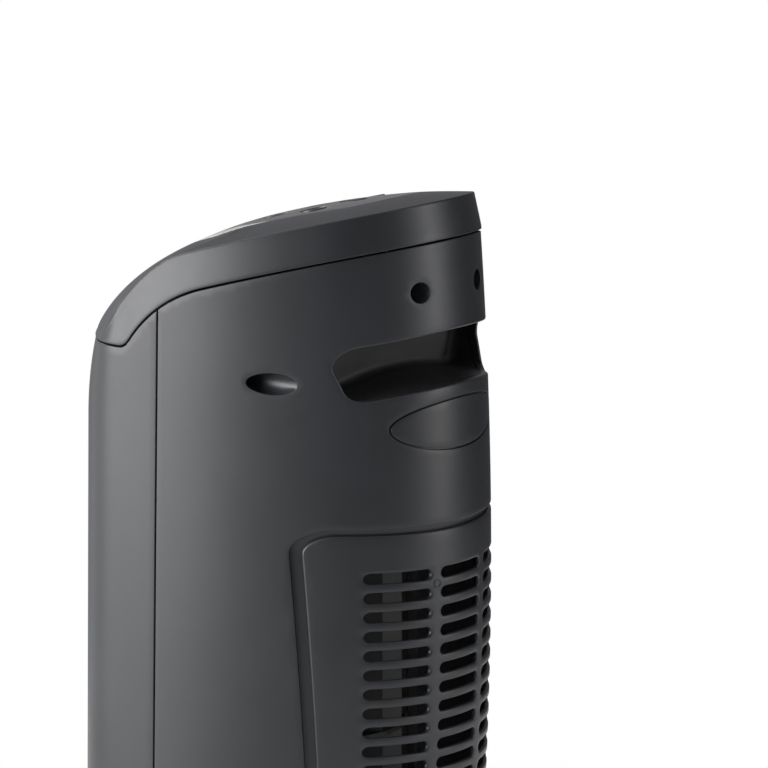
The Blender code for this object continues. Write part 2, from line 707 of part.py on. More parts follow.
def top_cap():
    outer_rings, inner_rings = [], []
    for share in (0.0, 1.0):
        outer, inner = [], []
        for column, ridge in zip(COLUMNS, RIDGE):
            z = CAP_SKIRT + (ridge.z - BAND_HEIGHT - CAP_SKIRT) * share
            outer.append(skin_point(column, z, CAP_OVERHANG))
            inner.append(skin_point(column, z, CAP_OVERHANG - WALL))
        outer_rings.append(outer)
        inner_rings.append(inner)
    for share in (0.5, 1.0):
        outer, inner = [], []
        for column, ridge in zip(COLUMNS, RIDGE):
            z = ridge.z - BAND_HEIGHT + (BAND_HEIGHT - RIDGE_ROUND) * share
            inner_z = ridge.z - BAND_HEIGHT + (BAND_HEIGHT - 2 * WALL) * share
            outer.append(skin_point(column, z, CAP_OVERHANG - CAP_DRAFT * share))
            inner.append(skin_point(column, inner_z, CAP_OVERHANG - CAP_DRAFT * share - WALL))
        outer_rings.append(outer)
        inner_rings.append(inner)
    top_rings = [[top_point(ridge, 1 - RIDGE_ROUND / TOWER_HALF_WIDTH) for ridge in RIDGE]]
    for share in TOP_SHARES:
        ring = []
        for column, ridge in zip(COLUMNS, RIDGE):
            edge = opening_share(column)
            blend = (share - OPENING_SHARE) / (1 - OPENING_SHARE)
            ring.append(top_point(ridge, edge + (1 - edge) * blend))
        top_rings.append(ring)
    floor = PANEL_THICKNESS + GAP
    under = floor + LEDGE_THICKNESS
    rim = [opening_share(column) for column in COLUMNS]
    ledge = [panel_share(column) - LEDGE_SHARE for column in COLUMNS]
    for shares, depth in ((rim, 0.0), (rim, floor), (ledge, floor), (ledge, under)):
        top_rings.append([top_point(ridge, share, depth) for ridge, share in zip(RIDGE, shares)])
    top_rings.append([top_point(ridge, TOP_SHARES[0], under) for ridge in RIDGE])
    cap = stack("top_cap", outer_rings + top_rings + inner_rings[::-1], CHARCOAL, closed_loop=True)
    posts = bmesh.new()
    for side in (-1, 1):
        middle = side * SCREW_WELL_X
        back = SCREW_WELL_FLOOR - GAP
        ceiling = top_surface(middle, back - POST_DEPTH / 2) - PANEL_THICKNESS - LEDGE_THICKNESS / 2
        outline = box_outline(middle - POST_HALF, middle + POST_HALF, back - POST_DEPTH, back)
        add_prism(posts, outline, "Z", POST_LOW, ceiling)
    cut(cap, below_seam("under_seam", SEAM_GAP / 2))
    join(cap, add("cap_posts", posts))
    cut(cap, screw_holes("cap_screw_holes"))
    merge_flat_faces(cap)


def panel_trim():
    """Crescent between the cap's opening and the control panel. It narrows to nothing at both ends."""
    bm = bmesh.new()
    front = [index for index, column in enumerate(COLUMNS) if normal_angle(column) > TRIM_TURN[0] + TRIM_TIP]
    rings = []
    for index in front:
        outer = opening_share(COLUMNS[index]) - GAP_SHARE
        inner = panel_share(COLUMNS[index]) + GAP_SHARE
        ridge = RIDGE[index]
        corners = ((outer, 0.0), (inner, 0.0), (inner, PANEL_THICKNESS), (outer, PANEL_THICKNESS))
        rings.append([bm.verts.new(top_point(ridge, share, depth)) for share, depth in corners])
    bm.faces.new(rings[0])
    bm.faces.new(rings[-1][::-1])
    for low, high in zip(rings, rings[1:]):
        for corner in range(4):
            after = (corner + 1) % 4
            bm.faces.new((low[corner], high[corner], high[after], low[after]))
    bmesh.ops.triangulate(bm, faces=bm.faces)
    add("panel_trim", bm, SILVER)


# Controls. They push square to the panel's middle.
CONTROL_CENTRE = 0.008         # the power button
CONTROL_REACH = 0.019          # the panel's slope is measured over this far before and behind it
PANEL_FRONT_Z = top_surface(0.0, CONTROL_CENTRE - CONTROL_REACH)
PANEL_BACK_Z = top_surface(0.0, CONTROL_CENTRE + CONTROL_REACH)
PANEL_TILT = math.atan((PANEL_BACK_Z - PANEL_FRONT_Z) / (2 * CONTROL_REACH))
PANEL_NORMAL = Vector((0.0, -math.sin(PANEL_TILT), math.cos(PANEL_TILT)))
BOARD_DEPTH = 0.0145           # from the panel's middle down to the board
BOARD_HALF_WIDTH = 0.038
BOARD_FRONT = -0.036
BOARD_BACK = 0.030
BOARD_THICKNESS = 0.0016
SWITCH_HALF = 0.003
SWITCH_HEIGHT = 0.0032
BUTTON_RADIUS = 0.0056
BUTTON_RISE = 0.0009
BUTTON_GAP = 0.00035
BUTTON_FLANGE = 0.0011         # flange wider than the button
BUTTON_FLANGE_THICKNESS = 0.0010
BUTTON_STEM = 0.0018
BUTTON_TRAVEL = 0.0010
BUTTON_REST_GAP = 0.0003
BUTTON_SEAT = 0.0012           # the flange lies this far under the crowned panel
# Button centres as seen from above: power in the middle, the others round it
BUTTON_BACK_STEP = 0.020       # from the power button to the one behind it
BUTTON_SIDE = 0.0190           # from the middle to the side buttons
BUTTON_SIDE_FRONT = 0.0055     # the front pair lies this far before the power button
BUTTON_SIDE_BACK = 0.0145      # and the back pair this far behind it
BUTTON_PLACES = {
    "power_button": (0.0, CONTROL_CENTRE),
    "mode_button": (-BUTTON_SIDE, CONTROL_CENTRE - BUTTON_SIDE_FRONT),
    "timer_button": (BUTTON_SIDE, CONTROL_CENTRE - BUTTON_SIDE_FRONT),
    "swing_button": (0.0, CONTROL_CENTRE + BUTTON_BACK_STEP),
    "cooler_button": (-BUTTON_SIDE, CONTROL_CENTRE + BUTTON_SIDE_BACK),
    "warmer_button": (BUTTON_SIDE, CONTROL_CENTRE + BUTTON_SIDE_BACK),
}
DISPLAY_HALF_WIDTH = 0.0165
DISPLAY_GAP = 0.0135           # from the power button's middle to the display
DISPLAY_DEPTH = 0.0180
DISPLAY_BACK = CONTROL_CENTRE - DISPLAY_GAP
DISPLAY_FRONT = DISPLAY_BACK - DISPLAY_DEPTH
DISPLAY_ROUND = 0.003
FRONT_POST_X = 0.0245
FRONT_POST_STEP = 0.0145       # before the power button
BACK_POST_X = 0.011
BACK_POST_STEP = 0.0300        # behind it
PANEL_POSTS = []
for side in (-1, 1):
    PANEL_POSTS.append((side * FRONT_POST_X, CONTROL_CENTRE - FRONT_POST_STEP))
    PANEL_POSTS.append((side * BACK_POST_X, CONTROL_CENTRE + BACK_POST_STEP))
PANEL_POST_RADIUS = 0.0022


BOARD_TOP = Vector((0.0, CONTROL_CENTRE, top_surface(0.0, CONTROL_CENTRE))) - PANEL_NORMAL * BOARD_DEPTH


def on_panel(x, y):
    """Places a piece on the top surface, with its own +Z square to the panel."""
    return Matrix.Translation((x, y, top_surface(x, y))) @ Matrix.Rotation(PANEL_TILT, 4, "X")


def height_over_board(x, y):
    return (Vector((x, y, top_surface(x, y))) - BOARD_TOP).dot(PANEL_NORMAL)


def board_place():
    return Matrix.Translation(BOARD_TOP) @ Matrix.Rotation(PANEL_TILT, 4, "X")


def panel_solid(name, finish=None):
    """The crowned oval plate that fills the opening."""
    edges = [panel_share(column) - GAP_SHARE for column in COLUMNS]
    low = [(part, PANEL_THICKNESS) for part in PANEL_PARTS]
    high = [(part, 0.0) for part in PANEL_PARTS[::-1]]
    rings = []
    for part, depth in low + high:
        rings.append([top_point(ridge, part * edge, depth) for ridge, edge in zip(RIDGE, edges)])
    return stack(name, rings, finish)


def display_outline(inset):
    half = DISPLAY_HALF_WIDTH - inset
    corners = box_outline(-half, half, DISPLAY_FRONT + inset, DISPLAY_BACK - inset)
    return rounded_outline(corners, DISPLAY_ROUND - inset)


def control_panel():
    panel = panel_solid("control_panel", PANEL_GREY)
    reach = BOARD_DEPTH
    posts = []
    for index, (x, y) in enumerate(PANEL_POSTS):
        depth = height_over_board(x, y) - GAP
        sunk = PANEL_THICKNESS / 2
        place = on_panel(x, y)
        posts.append(rod(f"panel_post_{index}", PANEL_POST_RADIUS, -depth, -sunk, steps=6, place=place))
    holes = []
    for name, (x, y) in BUTTON_PLACES.items():
        radius = BUTTON_RADIUS + BUTTON_GAP
        holes.append(rod(f"{name}_hole", radius, -reach / 2, reach / 2, steps=10, place=on_panel(x, y)))
    join(panel, *posts)
    low, high = TOP_HEIGHT - BOARD_DEPTH, 2 * TOP_HEIGHT
    cut(panel, *holes, prism("display_hole", display_outline(-GAP), "Z", low, high))
    merge_flat_faces(panel)


def display_lens():
    lens = panel_solid("display_lens", LENS)
    low, high = TOP_HEIGHT - BOARD_DEPTH, 2 * TOP_HEIGHT
    keep_inside(lens, prism("display_shape", display_outline(0.0), "Z", low, high))


def control_board():
    board = prism(
        "control_board",
        box_outline(-BOARD_HALF_WIDTH, BOARD_HALF_WIDTH, BOARD_FRONT, BOARD_BACK),
        "Z",
        -BOARD_THICKNESS,
        0.0,
        BOARD,
    )
    board.matrix_world = board_place()
    switches = bmesh.new()
    to_board = board_place().inverted()
    for x, y in BUTTON_PLACES.values():
        spot = to_board @ Vector((x, y, top_surface(x, y)))
        half = SWITCH_HALF
        outline = box_outline(spot.x - half, spot.x + half, spot.y - half, spot.y + half)
        add_prism(switches, outline, "Z", -BOARD_THICKNESS / 2, SWITCH_HEIGHT)
    made = add("tact_switches", switches)
    made.matrix_world = board_place()
    join(board, made)


def button(name, x, y):
    over_switch = height_over_board(x, y) - SWITCH_HEIGHT
    flange_top = -PANEL_THICKNESS - BUTTON_SEAT
    flange_low = flange_top - BUTTON_FLANGE_THICKNESS
    stem_low = -over_switch + BUTTON_TRAVEL + BUTTON_REST_GAP
    wide = BUTTON_RADIUS + BUTTON_FLANGE
    profile = [
        (0.0, stem_low),
        (BUTTON_STEM, stem_low),
        (BUTTON_STEM, flange_low),
        (wide, flange_low),
        (wide, flange_top),
        (BUTTON_RADIUS, flange_top),
        (BUTTON_RADIUS, BUTTON_RISE),
        (0.0, BUTTON_RISE),
    ]
    lathe(name, profile, BLACK, 10, on_panel(x, y))


# Base, bearing and swing drive
BASE_RADIUS = 0.098
BASE_TOP = 0.040
BASE_RIM = 0.0024              # the base shell's lower edge
BASE_WALL = 0.0028
BASE_FLAT = 0.049              # radius of the flat top
BASE_STEPS = 28
BASE_FACE = BASE_RADIUS * math.cos(math.pi / BASE_STEPS)
# Outer side from rim to top: share of the way in from the edge to the flat top, share of the way up
BASE_SHARES = ((0.0, 0.0), (0.0, 0.38), (0.10, 0.54), (0.45, 0.77), (1.0, 1.0))
SPIGOT_RADIUS = 0.015
SPIGOT_BORE = 0.011
SPIGOT_TOP = 0.0600
FLOOR_LOW = 0.0475
FLOOR_THICKNESS = 0.003
RUNNING = 0.0004               # between faces that turn past each other
BEARING_OUTER = 0.044
BEARING_INNER = 0.036
FOOT_HEIGHT = 0.0021
PAD_RADIUS = 0.008
PAD_CIRCLE = 0.078
PLATE_THICKNESS = 0.0025
GLAND_HEIGHT = 0.0104
GLAND_BORE = 0.0030
GLAND_BODY = 0.0040
GLAND_FLANGE = 0.0051
GLAND_FLANGE_THICKNESS = 0.0012

GEAR_MODULE = 0.0018
FIXED_TEETH = 30
PINION_TEETH = 10
PRESSURE_ANGLE = 20
TOOTH_PLAY = 0.00035
ADDENDUM_SHARE = 0.85
DEDENDUM_SHARE = 1.25
GEAR_THICKNESS = 0.006
FLANK_POINTS = 2
PINION_PLACE = (FIXED_TEETH + PINION_TEETH) * GEAR_MODULE / 2
FLOOR_TOP = FLOOR_LOW + FLOOR_THICKNESS
GEAR_LOW = FLOOR_TOP + RUNNING
GEAR_HIGH = GEAR_LOW + GEAR_THICKNESS
RETAINER_RADIUS = 0.021
RETAINER_THICKNESS = 0.0018
SWING_MOTOR_LOW = SPIGOT_TOP + RUNNING + GAP
SWING_MOTOR_RADIUS = 0.0245
SWING_MOTOR_HEIGHT = 0.017
SWING_EAR_X = 0.0298
SWING_EAR_RADIUS = 0.0042
SWING_EAR_THICKNESS = 0.0018
SWING_SHAFT = 0.0025
SWING_BORE_DEPTH = 0.008

SWITCH_X = 0.040
SWITCH_Y = -0.034
TIP_HALF_WIDTH = 0.009
TIP_HALF_DEPTH = 0.006
TIP_HEIGHT = 0.016
PLUNGER_RADIUS = 0.0028
PLUNGER_PLAY = 0.0004
PLUNGER_LENGTH = 0.0145


def base_profile():
    """Outer side, flat top and spigot, then back along the inside."""
    outer = []
    for inward, upward in BASE_SHARES:
        radius = BASE_RADIUS - (BASE_RADIUS - BASE_FLAT) * inward
        outer.append((radius, BASE_RIM + (BASE_TOP - BASE_RIM) * upward))
    inner = []
    for (radius, height), (next_radius, next_height) in zip(outer, outer[1:]):
        run = Vector((next_radius - radius, next_height - height)).normalized()
        inner.append((radius - run.y * BASE_WALL, height + run.x * BASE_WALL))
    inner[0] = (inner[0][0], BASE_RIM)
    spigot = [
        (SPIGOT_RADIUS, BASE_TOP),
        (SPIGOT_RADIUS, SPIGOT_TOP),
        (SPIGOT_BORE, SPIGOT_TOP),
        (SPIGOT_BORE, BASE_TOP - BASE_WALL),
        (BASE_FLAT - BASE_WALL / 2, BASE_TOP - BASE_WALL),
    ]
    return outer + spigot + inner[::-1]


def base_shell():
    shell = lathe("base_shell", base_profile(), CHARCOAL, BASE_STEPS)
    place = along_y(0.0, 0.0, GLAND_HEIGHT)
    outside = BASE_RADIUS + OVERRUN
    seat = BASE_FACE - GLAND_FLANGE_THICKNESS - GAP
    cut(
        shell,
        rod("gland_hole", GLAND_BODY + GAP, BASE_RADIUS - 3 * BASE_WALL, outside, steps=10, place=place),
        rod("gland_seat", GLAND_FLANGE + GAP, seat, outside, steps=10, place=place),
    )


def base_plate():
    radius = BASE_RADIUS - BASE_WALL - GAP
    plate = rod("base_plate", radius, BASE_RIM, BASE_RIM + PLATE_THICKNESS, BLACK, BASE_STEPS)
    x, y = SWITCH_X, SWITCH_Y
    hole = circle_outline(PLUNGER_RADIUS + PLUNGER_PLAY, x, y, 16)
    cut(plate, prism("plunger_hole", hole, "Z", -OVERRUN, BASE_TOP))


def feet():
    places = ((1, 1, "back_left"), (-1, 1, "back_right"), (1, -1, "front_left"), (-1, -1, "front_right"))
    for side, end, word in places:
        spot = Matrix.Translation((side * PAD_CIRCLE / math.sqrt(2), end * PAD_CIRCLE / math.sqrt(2), 0.0))
        rod(f"foot_{word}", PAD_RADIUS, 0.0, FOOT_HEIGHT, RUBBER, 16, spot)


def cord_gland():
    inside = BASE_FACE - BASE_WALL - GAP - GLAND_FLANGE_THICKNESS
    outside = BASE_FACE
    profile = [
        (GLAND_BORE, inside),
        (GLAND_FLANGE, inside),
        (GLAND_FLANGE, inside + GLAND_FLANGE_THICKNESS),
        (GLAND_BODY, inside + GLAND_FLANGE_THICKNESS),
        (GLAND_BODY, outside - GLAND_FLANGE_THICKNESS),
        (GLAND_FLANGE, outside - GLAND_FLANGE_THICKNESS),
        (GLAND_FLANGE - GAP, outside),
        (GLAND_BORE, outside),
    ]
    lathe("cord_gland", profile, RUBBER, 10, along_y(0.0, 0.0, GLAND_HEIGHT))


def tip_over_switch():
    x, y = SWITCH_X, SWITCH_Y
    low = BASE_RIM + PLATE_THICKNESS + GAP
    outline = box_outline(x - TIP_HALF_WIDTH, x + TIP_HALF_WIDTH, y - TIP_HALF_DEPTH, y + TIP_HALF_DEPTH)
    body = prism("tip_over_switch", outline, "Z", low, low + TIP_HEIGHT, BLACK)
    bore = circle_outline(PLUNGER_RADIUS + PLUNGER_PLAY, x, y, 16)
    cut(body, prism("switch_bore", bore, "Z", -OVERRUN, GAP + PLUNGER_LENGTH + OVERRUN / 2))
    rod("tip_plunger", PLUNGER_RADIUS, GAP, GAP + PLUNGER_LENGTH, NYLON, 12, Matrix.Translation((x, y, 0.0)))


def bearing_ring():
    tube("bearing_ring", BEARING_OUTER, BEARING_INNER, BASE_TOP + GAP, FLOOR_LOW - RUNNING, NYLON, 24)


def gear_outline(teeth, turn):
    """Involute teeth, thinned by the play. A tooth points at angle turn."""
    pitch = GEAR_MODULE * teeth / 2
    base = pitch * math.cos(math.radians(PRESSURE_ANGLE))
    tip = pitch + GEAR_MODULE * ADDENDUM_SHARE
    root = pitch - GEAR_MODULE * DEDENDUM_SHARE
    start = max(base, root + TOOTH_PLAY)

    def spread(radius):
        roll = math.sqrt(max((radius / base) ** 2 - 1, 0.0))
        return roll - math.atan(roll)

    half_tooth = math.pi / (2 * teeth) + spread(pitch) - TOOTH_PLAY / (2 * pitch)
    flank = [start + (tip - start) * step / (FLANK_POINTS - 1) for step in range(FLANK_POINTS)]
    points = []
    for tooth in range(teeth):
        centre = turn + 2 * math.pi * tooth / teeth
        rise = [(radius, centre - half_tooth + spread(radius)) for radius in flank]
        fall = [(radius, centre + half_tooth - spread(radius)) for radius in flank[::-1]]
        foot = half_tooth - spread(start)
        ends = [(root, centre - foot), *rise, *fall, (root, centre + foot)]
        points += [(radius * math.cos(angle), radius * math.sin(angle)) for radius, angle in ends]
    return points


def fixed_gear():
    """Sits on the base's spigot. The pinion, carried by the tower, rolls round it."""
    gear = prism("fixed_gear", gear_outline(FIXED_TEETH, math.pi / 2), "Z", GEAR_LOW, GEAR_HIGH, NYLON)
    cut(gear, rod("gear_bore", SPIGOT_RADIUS + GAP, 0.0, BASE_TOP * 2, steps=ROUND))


def retainer():
    low = GEAR_HIGH + GAP
    tube("retaining_washer", RETAINER_RADIUS, SPIGOT_RADIUS + GAP, low, low + RETAINER_THICKNESS, STEEL)


def pinion():
    """Its shaft reaches into the motor. A gap between teeth faces the fixed gear's tooth."""
    turn = -math.pi / 2 + math.pi / PINION_TEETH
    gear = prism("swing_pinion", gear_outline(PINION_TEETH, turn), "Z", GEAR_LOW, GEAR_HIGH, NYLON)
    gear.location = (0.0, PINION_PLACE, 0.0)
    top = SWING_MOTOR_LOW + SWING_BORE_DEPTH / 2
    shaft = rod("pinion_shaft", SWING_SHAFT, GEAR_LOW + GAP, top, steps=16)
    shaft.location = gear.location
    join(gear, shaft)


def swing_motor():
    high = SWING_MOTOR_LOW + SWING_MOTOR_HEIGHT
    profile = [
        (0.0, SWING_MOTOR_LOW),
        (SWING_MOTOR_RADIUS, SWING_MOTOR_LOW),
        (SWING_MOTOR_RADIUS, high - WALL / 2),
        (SWING_MOTOR_RADIUS - WALL / 2, high),
        (0.0, high),
    ]
    motor = lathe("swing_motor", profile, STEEL)
    motor.location = (0.0, PINION_PLACE, 0.0)
    ear_low = SWING_MOTOR_LOW + GAP
    ears = bmesh.new()
    corners = [
        (-SWING_EAR_X - SWING_EAR_RADIUS, PINION_PLACE - SWING_EAR_RADIUS),
        (SWING_EAR_X + SWING_EAR_RADIUS, PINION_PLACE - SWING_EAR_RADIUS),
        (SWING_EAR_X + SWING_EAR_RADIUS, PINION_PLACE + SWING_EAR_RADIUS),
        (-SWING_EAR_X - SWING_EAR_RADIUS, PINION_PLACE + SWING_EAR_RADIUS),
    ]
    ear_high = ear_low + SWING_EAR_THICKNESS
    add_prism(ears, rounded_outline(corners, SWING_EAR_RADIUS * 0.9), "Z", ear_low, ear_high)
    join(motor, add("motor_ears", ears))
    bore = circle_outline(SWING_SHAFT + GAP, 0.0, PINION_PLACE, 16)
    cut(motor, prism("motor_bore", bore, "Z", 0.0, SWING_MOTOR_LOW + SWING_BORE_DEPTH))


# Blower and heater
WHEEL_Y = 0.012
WHEEL_RADIUS = 0.034
BLADE_INNER = 0.0265
BLADES = 12
BLADE_STEPS = 2
BLADE_THICKNESS = 0.0010
BLADE_SWEEP = 26               # degrees from inner to outer edge
BLADE_BELLY = 0.0016
DISC_THICKNESS = 0.002
HOUSING_LIFT = 0.0335          # from the tower's floor to the housing
HOUSING_LOW = FLOOR_TOP + HOUSING_LIFT
HOUSING_DROP = 0.0053          # from the inlet's top edge down to the housing's
HOUSING_HIGH = INTAKE_HIGH - HOUSING_DROP
HOUSING_PLATE = 0.003
HOUSING_HALF_WIDTH = 0.047
HOUSING_FRONT = -0.062
HOUSING_BACK = 0.050
HOUSING_WALL = 0.0024
WHEEL_LIFT = 0.004             # between housing plates and the wheel's discs
HUB_RADIUS = 0.007
HUB_HEIGHT = 0.012
SHAFT_RADIUS = 0.003
BUSH_RADIUS = 0.0068
BUSH_FLANGE = 0.0090
BUSH_FLANGE_THICKNESS = 0.0015
BUSH_DEPTH = 0.0020            # the bush reaches this far below the plate
SCROLL_START = 120             # degrees from +X, at the wheel's nearest wall
SCROLL_END = 195
SCROLL_GAP = 0.003
DUCT_HALF_WIDTH = 0.0445
TONGUE_ANGLE = -28
FLOOR_POST_X = 0.042
FLOOR_POST_FRONT = 0.045
FLOOR_POST_BACK = 0.040
FLOOR_POSTS = [(side * FLOOR_POST_X, y) for side in (-1, 1) for y in (-FLOOR_POST_FRONT, FLOOR_POST_BACK)]
FLOOR_POST_RADIUS = 0.004
MOTOR_RADIUS = 0.029
MOTOR_FLANGE = 0.033
MOTOR_HEIGHT = 0.044
MOTOR_BORE = 0.014

FRAME_CLEARANCE = 0.0018
FRAME_HALF_WIDTH = DUCT_HALF_WIDTH - HOUSING_WALL / 2 - FRAME_CLEARANCE
FRAME_FRONT = -0.060
FRAME_BACK = -0.043
FRAME_RAIL = 0.0085
ELEMENT_DEPTH = 0.010
BAR_PLACES_SHARE = (-0.66, 0.0, 0.66)
BAR_HALF = 0.0023
FIN_THICKNESS = 0.0007
FIN_SPREAD = 0.0014            # a fin's thickness measured across its slope
FIN_PITCH = 0.0290
CUTOUT_RADIUS = 0.0040
CUTOUT_LENGTH = 0.005


def wall_outline(points, thickness):
    """A strip of even thickness along a line of points."""
    left, right = [], []
    for index, point in enumerate(points):
        before = Vector(points[max(index - 1, 0)])
        after = Vector(points[min(index + 1, len(points) - 1)])
        run = (after - before).normalized()
        side = Vector((-run.y, run.x)) * (thickness / 2)
        left.append(tuple(Vector(point) + side))
        right.append(tuple(Vector(point) - side))
    return left + right[::-1]


def round_wheel(radius, degrees):
    turn = math.radians(degrees)
    return (radius * math.cos(turn), WHEEL_Y + radius * math.sin(turn))


def blower_housing():
    """Two plates joined by the scroll wall and the tongue, as one moulding."""
    corners = box_outline(-HOUSING_HALF_WIDTH, HOUSING_HALF_WIDTH, HOUSING_FRONT, HOUSING_BACK)
    plate = rounded_outline(corners, WALL)
    low_plate = HOUSING_LOW + HOUSING_PLATE
    high_plate = HOUSING_HIGH - HOUSING_PLATE
    housing = prism("blower_housing", plate, "Z", HOUSING_LOW, low_plate, BLACK)
    near = WHEEL_RADIUS + SCROLL_GAP
    far = DUCT_HALF_WIDTH
    scroll = []
    for step in range(7):
        share = step / 6
        angle = SCROLL_START + (SCROLL_END - SCROLL_START) * share
        scroll.append(round_wheel(near + (far - near) * share, angle))
    scroll += [(-DUCT_HALF_WIDTH, WHEEL_Y - WHEEL_RADIUS), (-DUCT_HALF_WIDTH, HOUSING_FRONT + WALL)]
    tip_x, tip_y = round_wheel(near, TONGUE_ANGLE)
    tongue = [
        (DUCT_HALF_WIDTH, HOUSING_FRONT + WALL),
        (DUCT_HALF_WIDTH, FRAME_BACK + WALL),
        ((DUCT_HALF_WIDTH + tip_x) / 2 + WALL, (tip_y + FRAME_BACK) / 2),
        (tip_x, tip_y),
    ]
    sunk = HOUSING_PLATE / 2
    walls = prisms(
        "housing_walls",
        [wall_outline(scroll, HOUSING_WALL), wall_outline(tongue, HOUSING_WALL)],
        "Z",
        low_plate - sunk,
        high_plate + sunk,
    )
    join(housing, walls, prism("housing_roof", plate, "Z", high_plate, HOUSING_HIGH))
    bush_hole = circle_outline(BUSH_RADIUS + GAP, 0.0, WHEEL_Y, 14)
    cut(
        housing,
        prism("bush_hole", bush_hole, "Z", 0.0, low_plate + OVERRUN / 2),
        prism("shaft_hole", bush_hole, "Z", high_plate - OVERRUN / 2, HOUSING_HIGH + OVERRUN),
    )


def blower_bush():
    low_plate = HOUSING_LOW + HOUSING_PLATE
    top = low_plate + GAP + BUSH_FLANGE_THICKNESS
    bore = SHAFT_RADIUS + GAP
    profile = [
        (bore, HOUSING_LOW - BUSH_DEPTH),
        (BUSH_RADIUS, HOUSING_LOW - BUSH_DEPTH),
        (BUSH_RADIUS, low_plate + GAP),
        (BUSH_FLANGE, low_plate + GAP),
        (BUSH_FLANGE, top),
        (bore, top),
    ]
    lathe("blower_bush", profile, RUBBER, 14, Matrix.Translation((0.0, WHEEL_Y, 0.0)))


def blade_outline(turn):
    """A thin blade that curves forward from its inner to its outer edge."""
    line = []
    for step in range(BLADE_STEPS + 1):
        share = step / BLADE_STEPS
        radius = BLADE_INNER + (WHEEL_RADIUS - BLADE_THICKNESS - BLADE_INNER) * share
        belly = BLADE_BELLY * math.sin(math.pi * share) / radius
        angle = turn + math.radians(BLADE_SWEEP) * share + belly
        line.append((radius * math.cos(angle), radius * math.sin(angle)))
    return wall_outline(line, BLADE_THICKNESS)


def blower_wheel():
    """Cross-flow wheel: a ring of blades between two end discs, with a ring half way up."""
    low = HOUSING_LOW + HOUSING_PLATE + WHEEL_LIFT
    high = HOUSING_HIGH - HOUSING_PLATE - WHEEL_LIFT
    place = Matrix.Translation((0.0, WHEEL_Y, 0.0))
    pin_profile = [
        (0.0, HOUSING_LOW - 2 * BUSH_DEPTH),
        (SHAFT_RADIUS, HOUSING_LOW - 2 * BUSH_DEPTH),
        (SHAFT_RADIUS, low),
        (WHEEL_RADIUS, low),
        (WHEEL_RADIUS, low + DISC_THICKNESS),
        (0.0, low + DISC_THICKNESS),
    ]
    wheel = lathe("blower_wheel", pin_profile, BLACK, ROUND, place)
    blades = [blade_outline(2 * math.pi * index / BLADES) for index in range(BLADES)]
    sunk = DISC_THICKNESS / 2
    blade_set = prisms("blades", blades, "Z", low + sunk, high - sunk)
    blade_set.matrix_world = place
    bore = SHAFT_RADIUS + GAP
    top_profile = [
        (bore, high - HUB_HEIGHT),
        (HUB_RADIUS, high - HUB_HEIGHT),
        (HUB_RADIUS, high - DISC_THICKNESS),
        (WHEEL_RADIUS, high - DISC_THICKNESS),
        (WHEEL_RADIUS, high),
        (bore, high),
    ]
    middle = (low + high) / 2
    ring_bore = BLADE_INNER - BLADE_THICKNESS
    ring = tube("middle_ring", WHEEL_RADIUS, ring_bore, middle - sunk, middle + sunk, place=place)
    join(wheel, blade_set, lathe("top_disc", top_profile, place=place), ring)
    merge_flat_faces(wheel)


def drive_shaft():
    high = HOUSING_HIGH - HOUSING_PLATE - WHEEL_LIFT
    low = high - HUB_HEIGHT
    top = HOUSING_HIGH + GAP + MOTOR_BORE - WALL
    rod("drive_shaft", SHAFT_RADIUS, low, top, STEEL, 16, Matrix.Translation((0.0, WHEEL_Y, 0.0)))


def blower_motor():
    low = HOUSING_HIGH + GAP
    bore = SHAFT_RADIUS + GAP
    profile = [
        (bore, low),
        (MOTOR_FLANGE, low),
        (MOTOR_FLANGE, low + WALL),
        (MOTOR_RADIUS, low + 2 * WALL),
        (MOTOR_RADIUS, low + MOTOR_HEIGHT - 2 * WALL),
        (MOTOR_RADIUS - 2 * WALL, low + MOTOR_HEIGHT),
        (0.0, low + MOTOR_HEIGHT),
        (0.0, low + MOTOR_BORE),
        (bore, low + MOTOR_BORE),
    ]
    lathe("blower_motor", profile, STEEL, ROUND, Matrix.Translation((0.0, WHEEL_Y, 0.0)))


def tower_floor():
    """Closes the tower, turns on the bearing ring, and carries the swing motor and the blower."""
    outline = [tuple(skin_point(column, TOWER_LOW, -WALL - 2 * GAP).xy) for column in COLUMNS]
    floor = prism("tower_floor", outline, "Z", FLOOR_LOW, FLOOR_TOP, BLACK)
    sunk = FLOOR_THICKNESS / 2
    tall = [circle_outline(FLOOR_POST_RADIUS, x, y, 8) for x, y in FLOOR_POSTS]
    short = [circle_outline(FLOOR_POST_RADIUS, side * SWING_EAR_X, PINION_PLACE, 8) for side in (-1, 1)]
    join(
        floor,
        prisms("blower_posts", tall, "Z", FLOOR_TOP - sunk, HOUSING_LOW - GAP),
        prisms("motor_posts", short, "Z", FLOOR_TOP - sunk, SWING_MOTOR_LOW),
    )
    cut(floor, rod("spigot_hole", SPIGOT_RADIUS + RUNNING, 0.0, BASE_TOP * 2, steps=ROUND))


def heater_frame():
    low = HOUSING_LOW + HOUSING_PLATE + GAP
    high = HOUSING_HIGH - HOUSING_PLATE - GAP
    outline = box_outline(-FRAME_HALF_WIDTH, FRAME_HALF_WIDTH, low, high)
    frame = prism("heater_frame", outline, "Y", FRAME_FRONT, FRAME_BACK, NYLON)
    half = FRAME_HALF_WIDTH - FRAME_RAIL
    opening = box_outline(-half, half, low + FRAME_RAIL, high - FRAME_RAIL)
    cut(frame, prism("frame_opening", opening, "Y", FRAME_FRONT - OVERRUN, FRAME_BACK + OVERRUN))


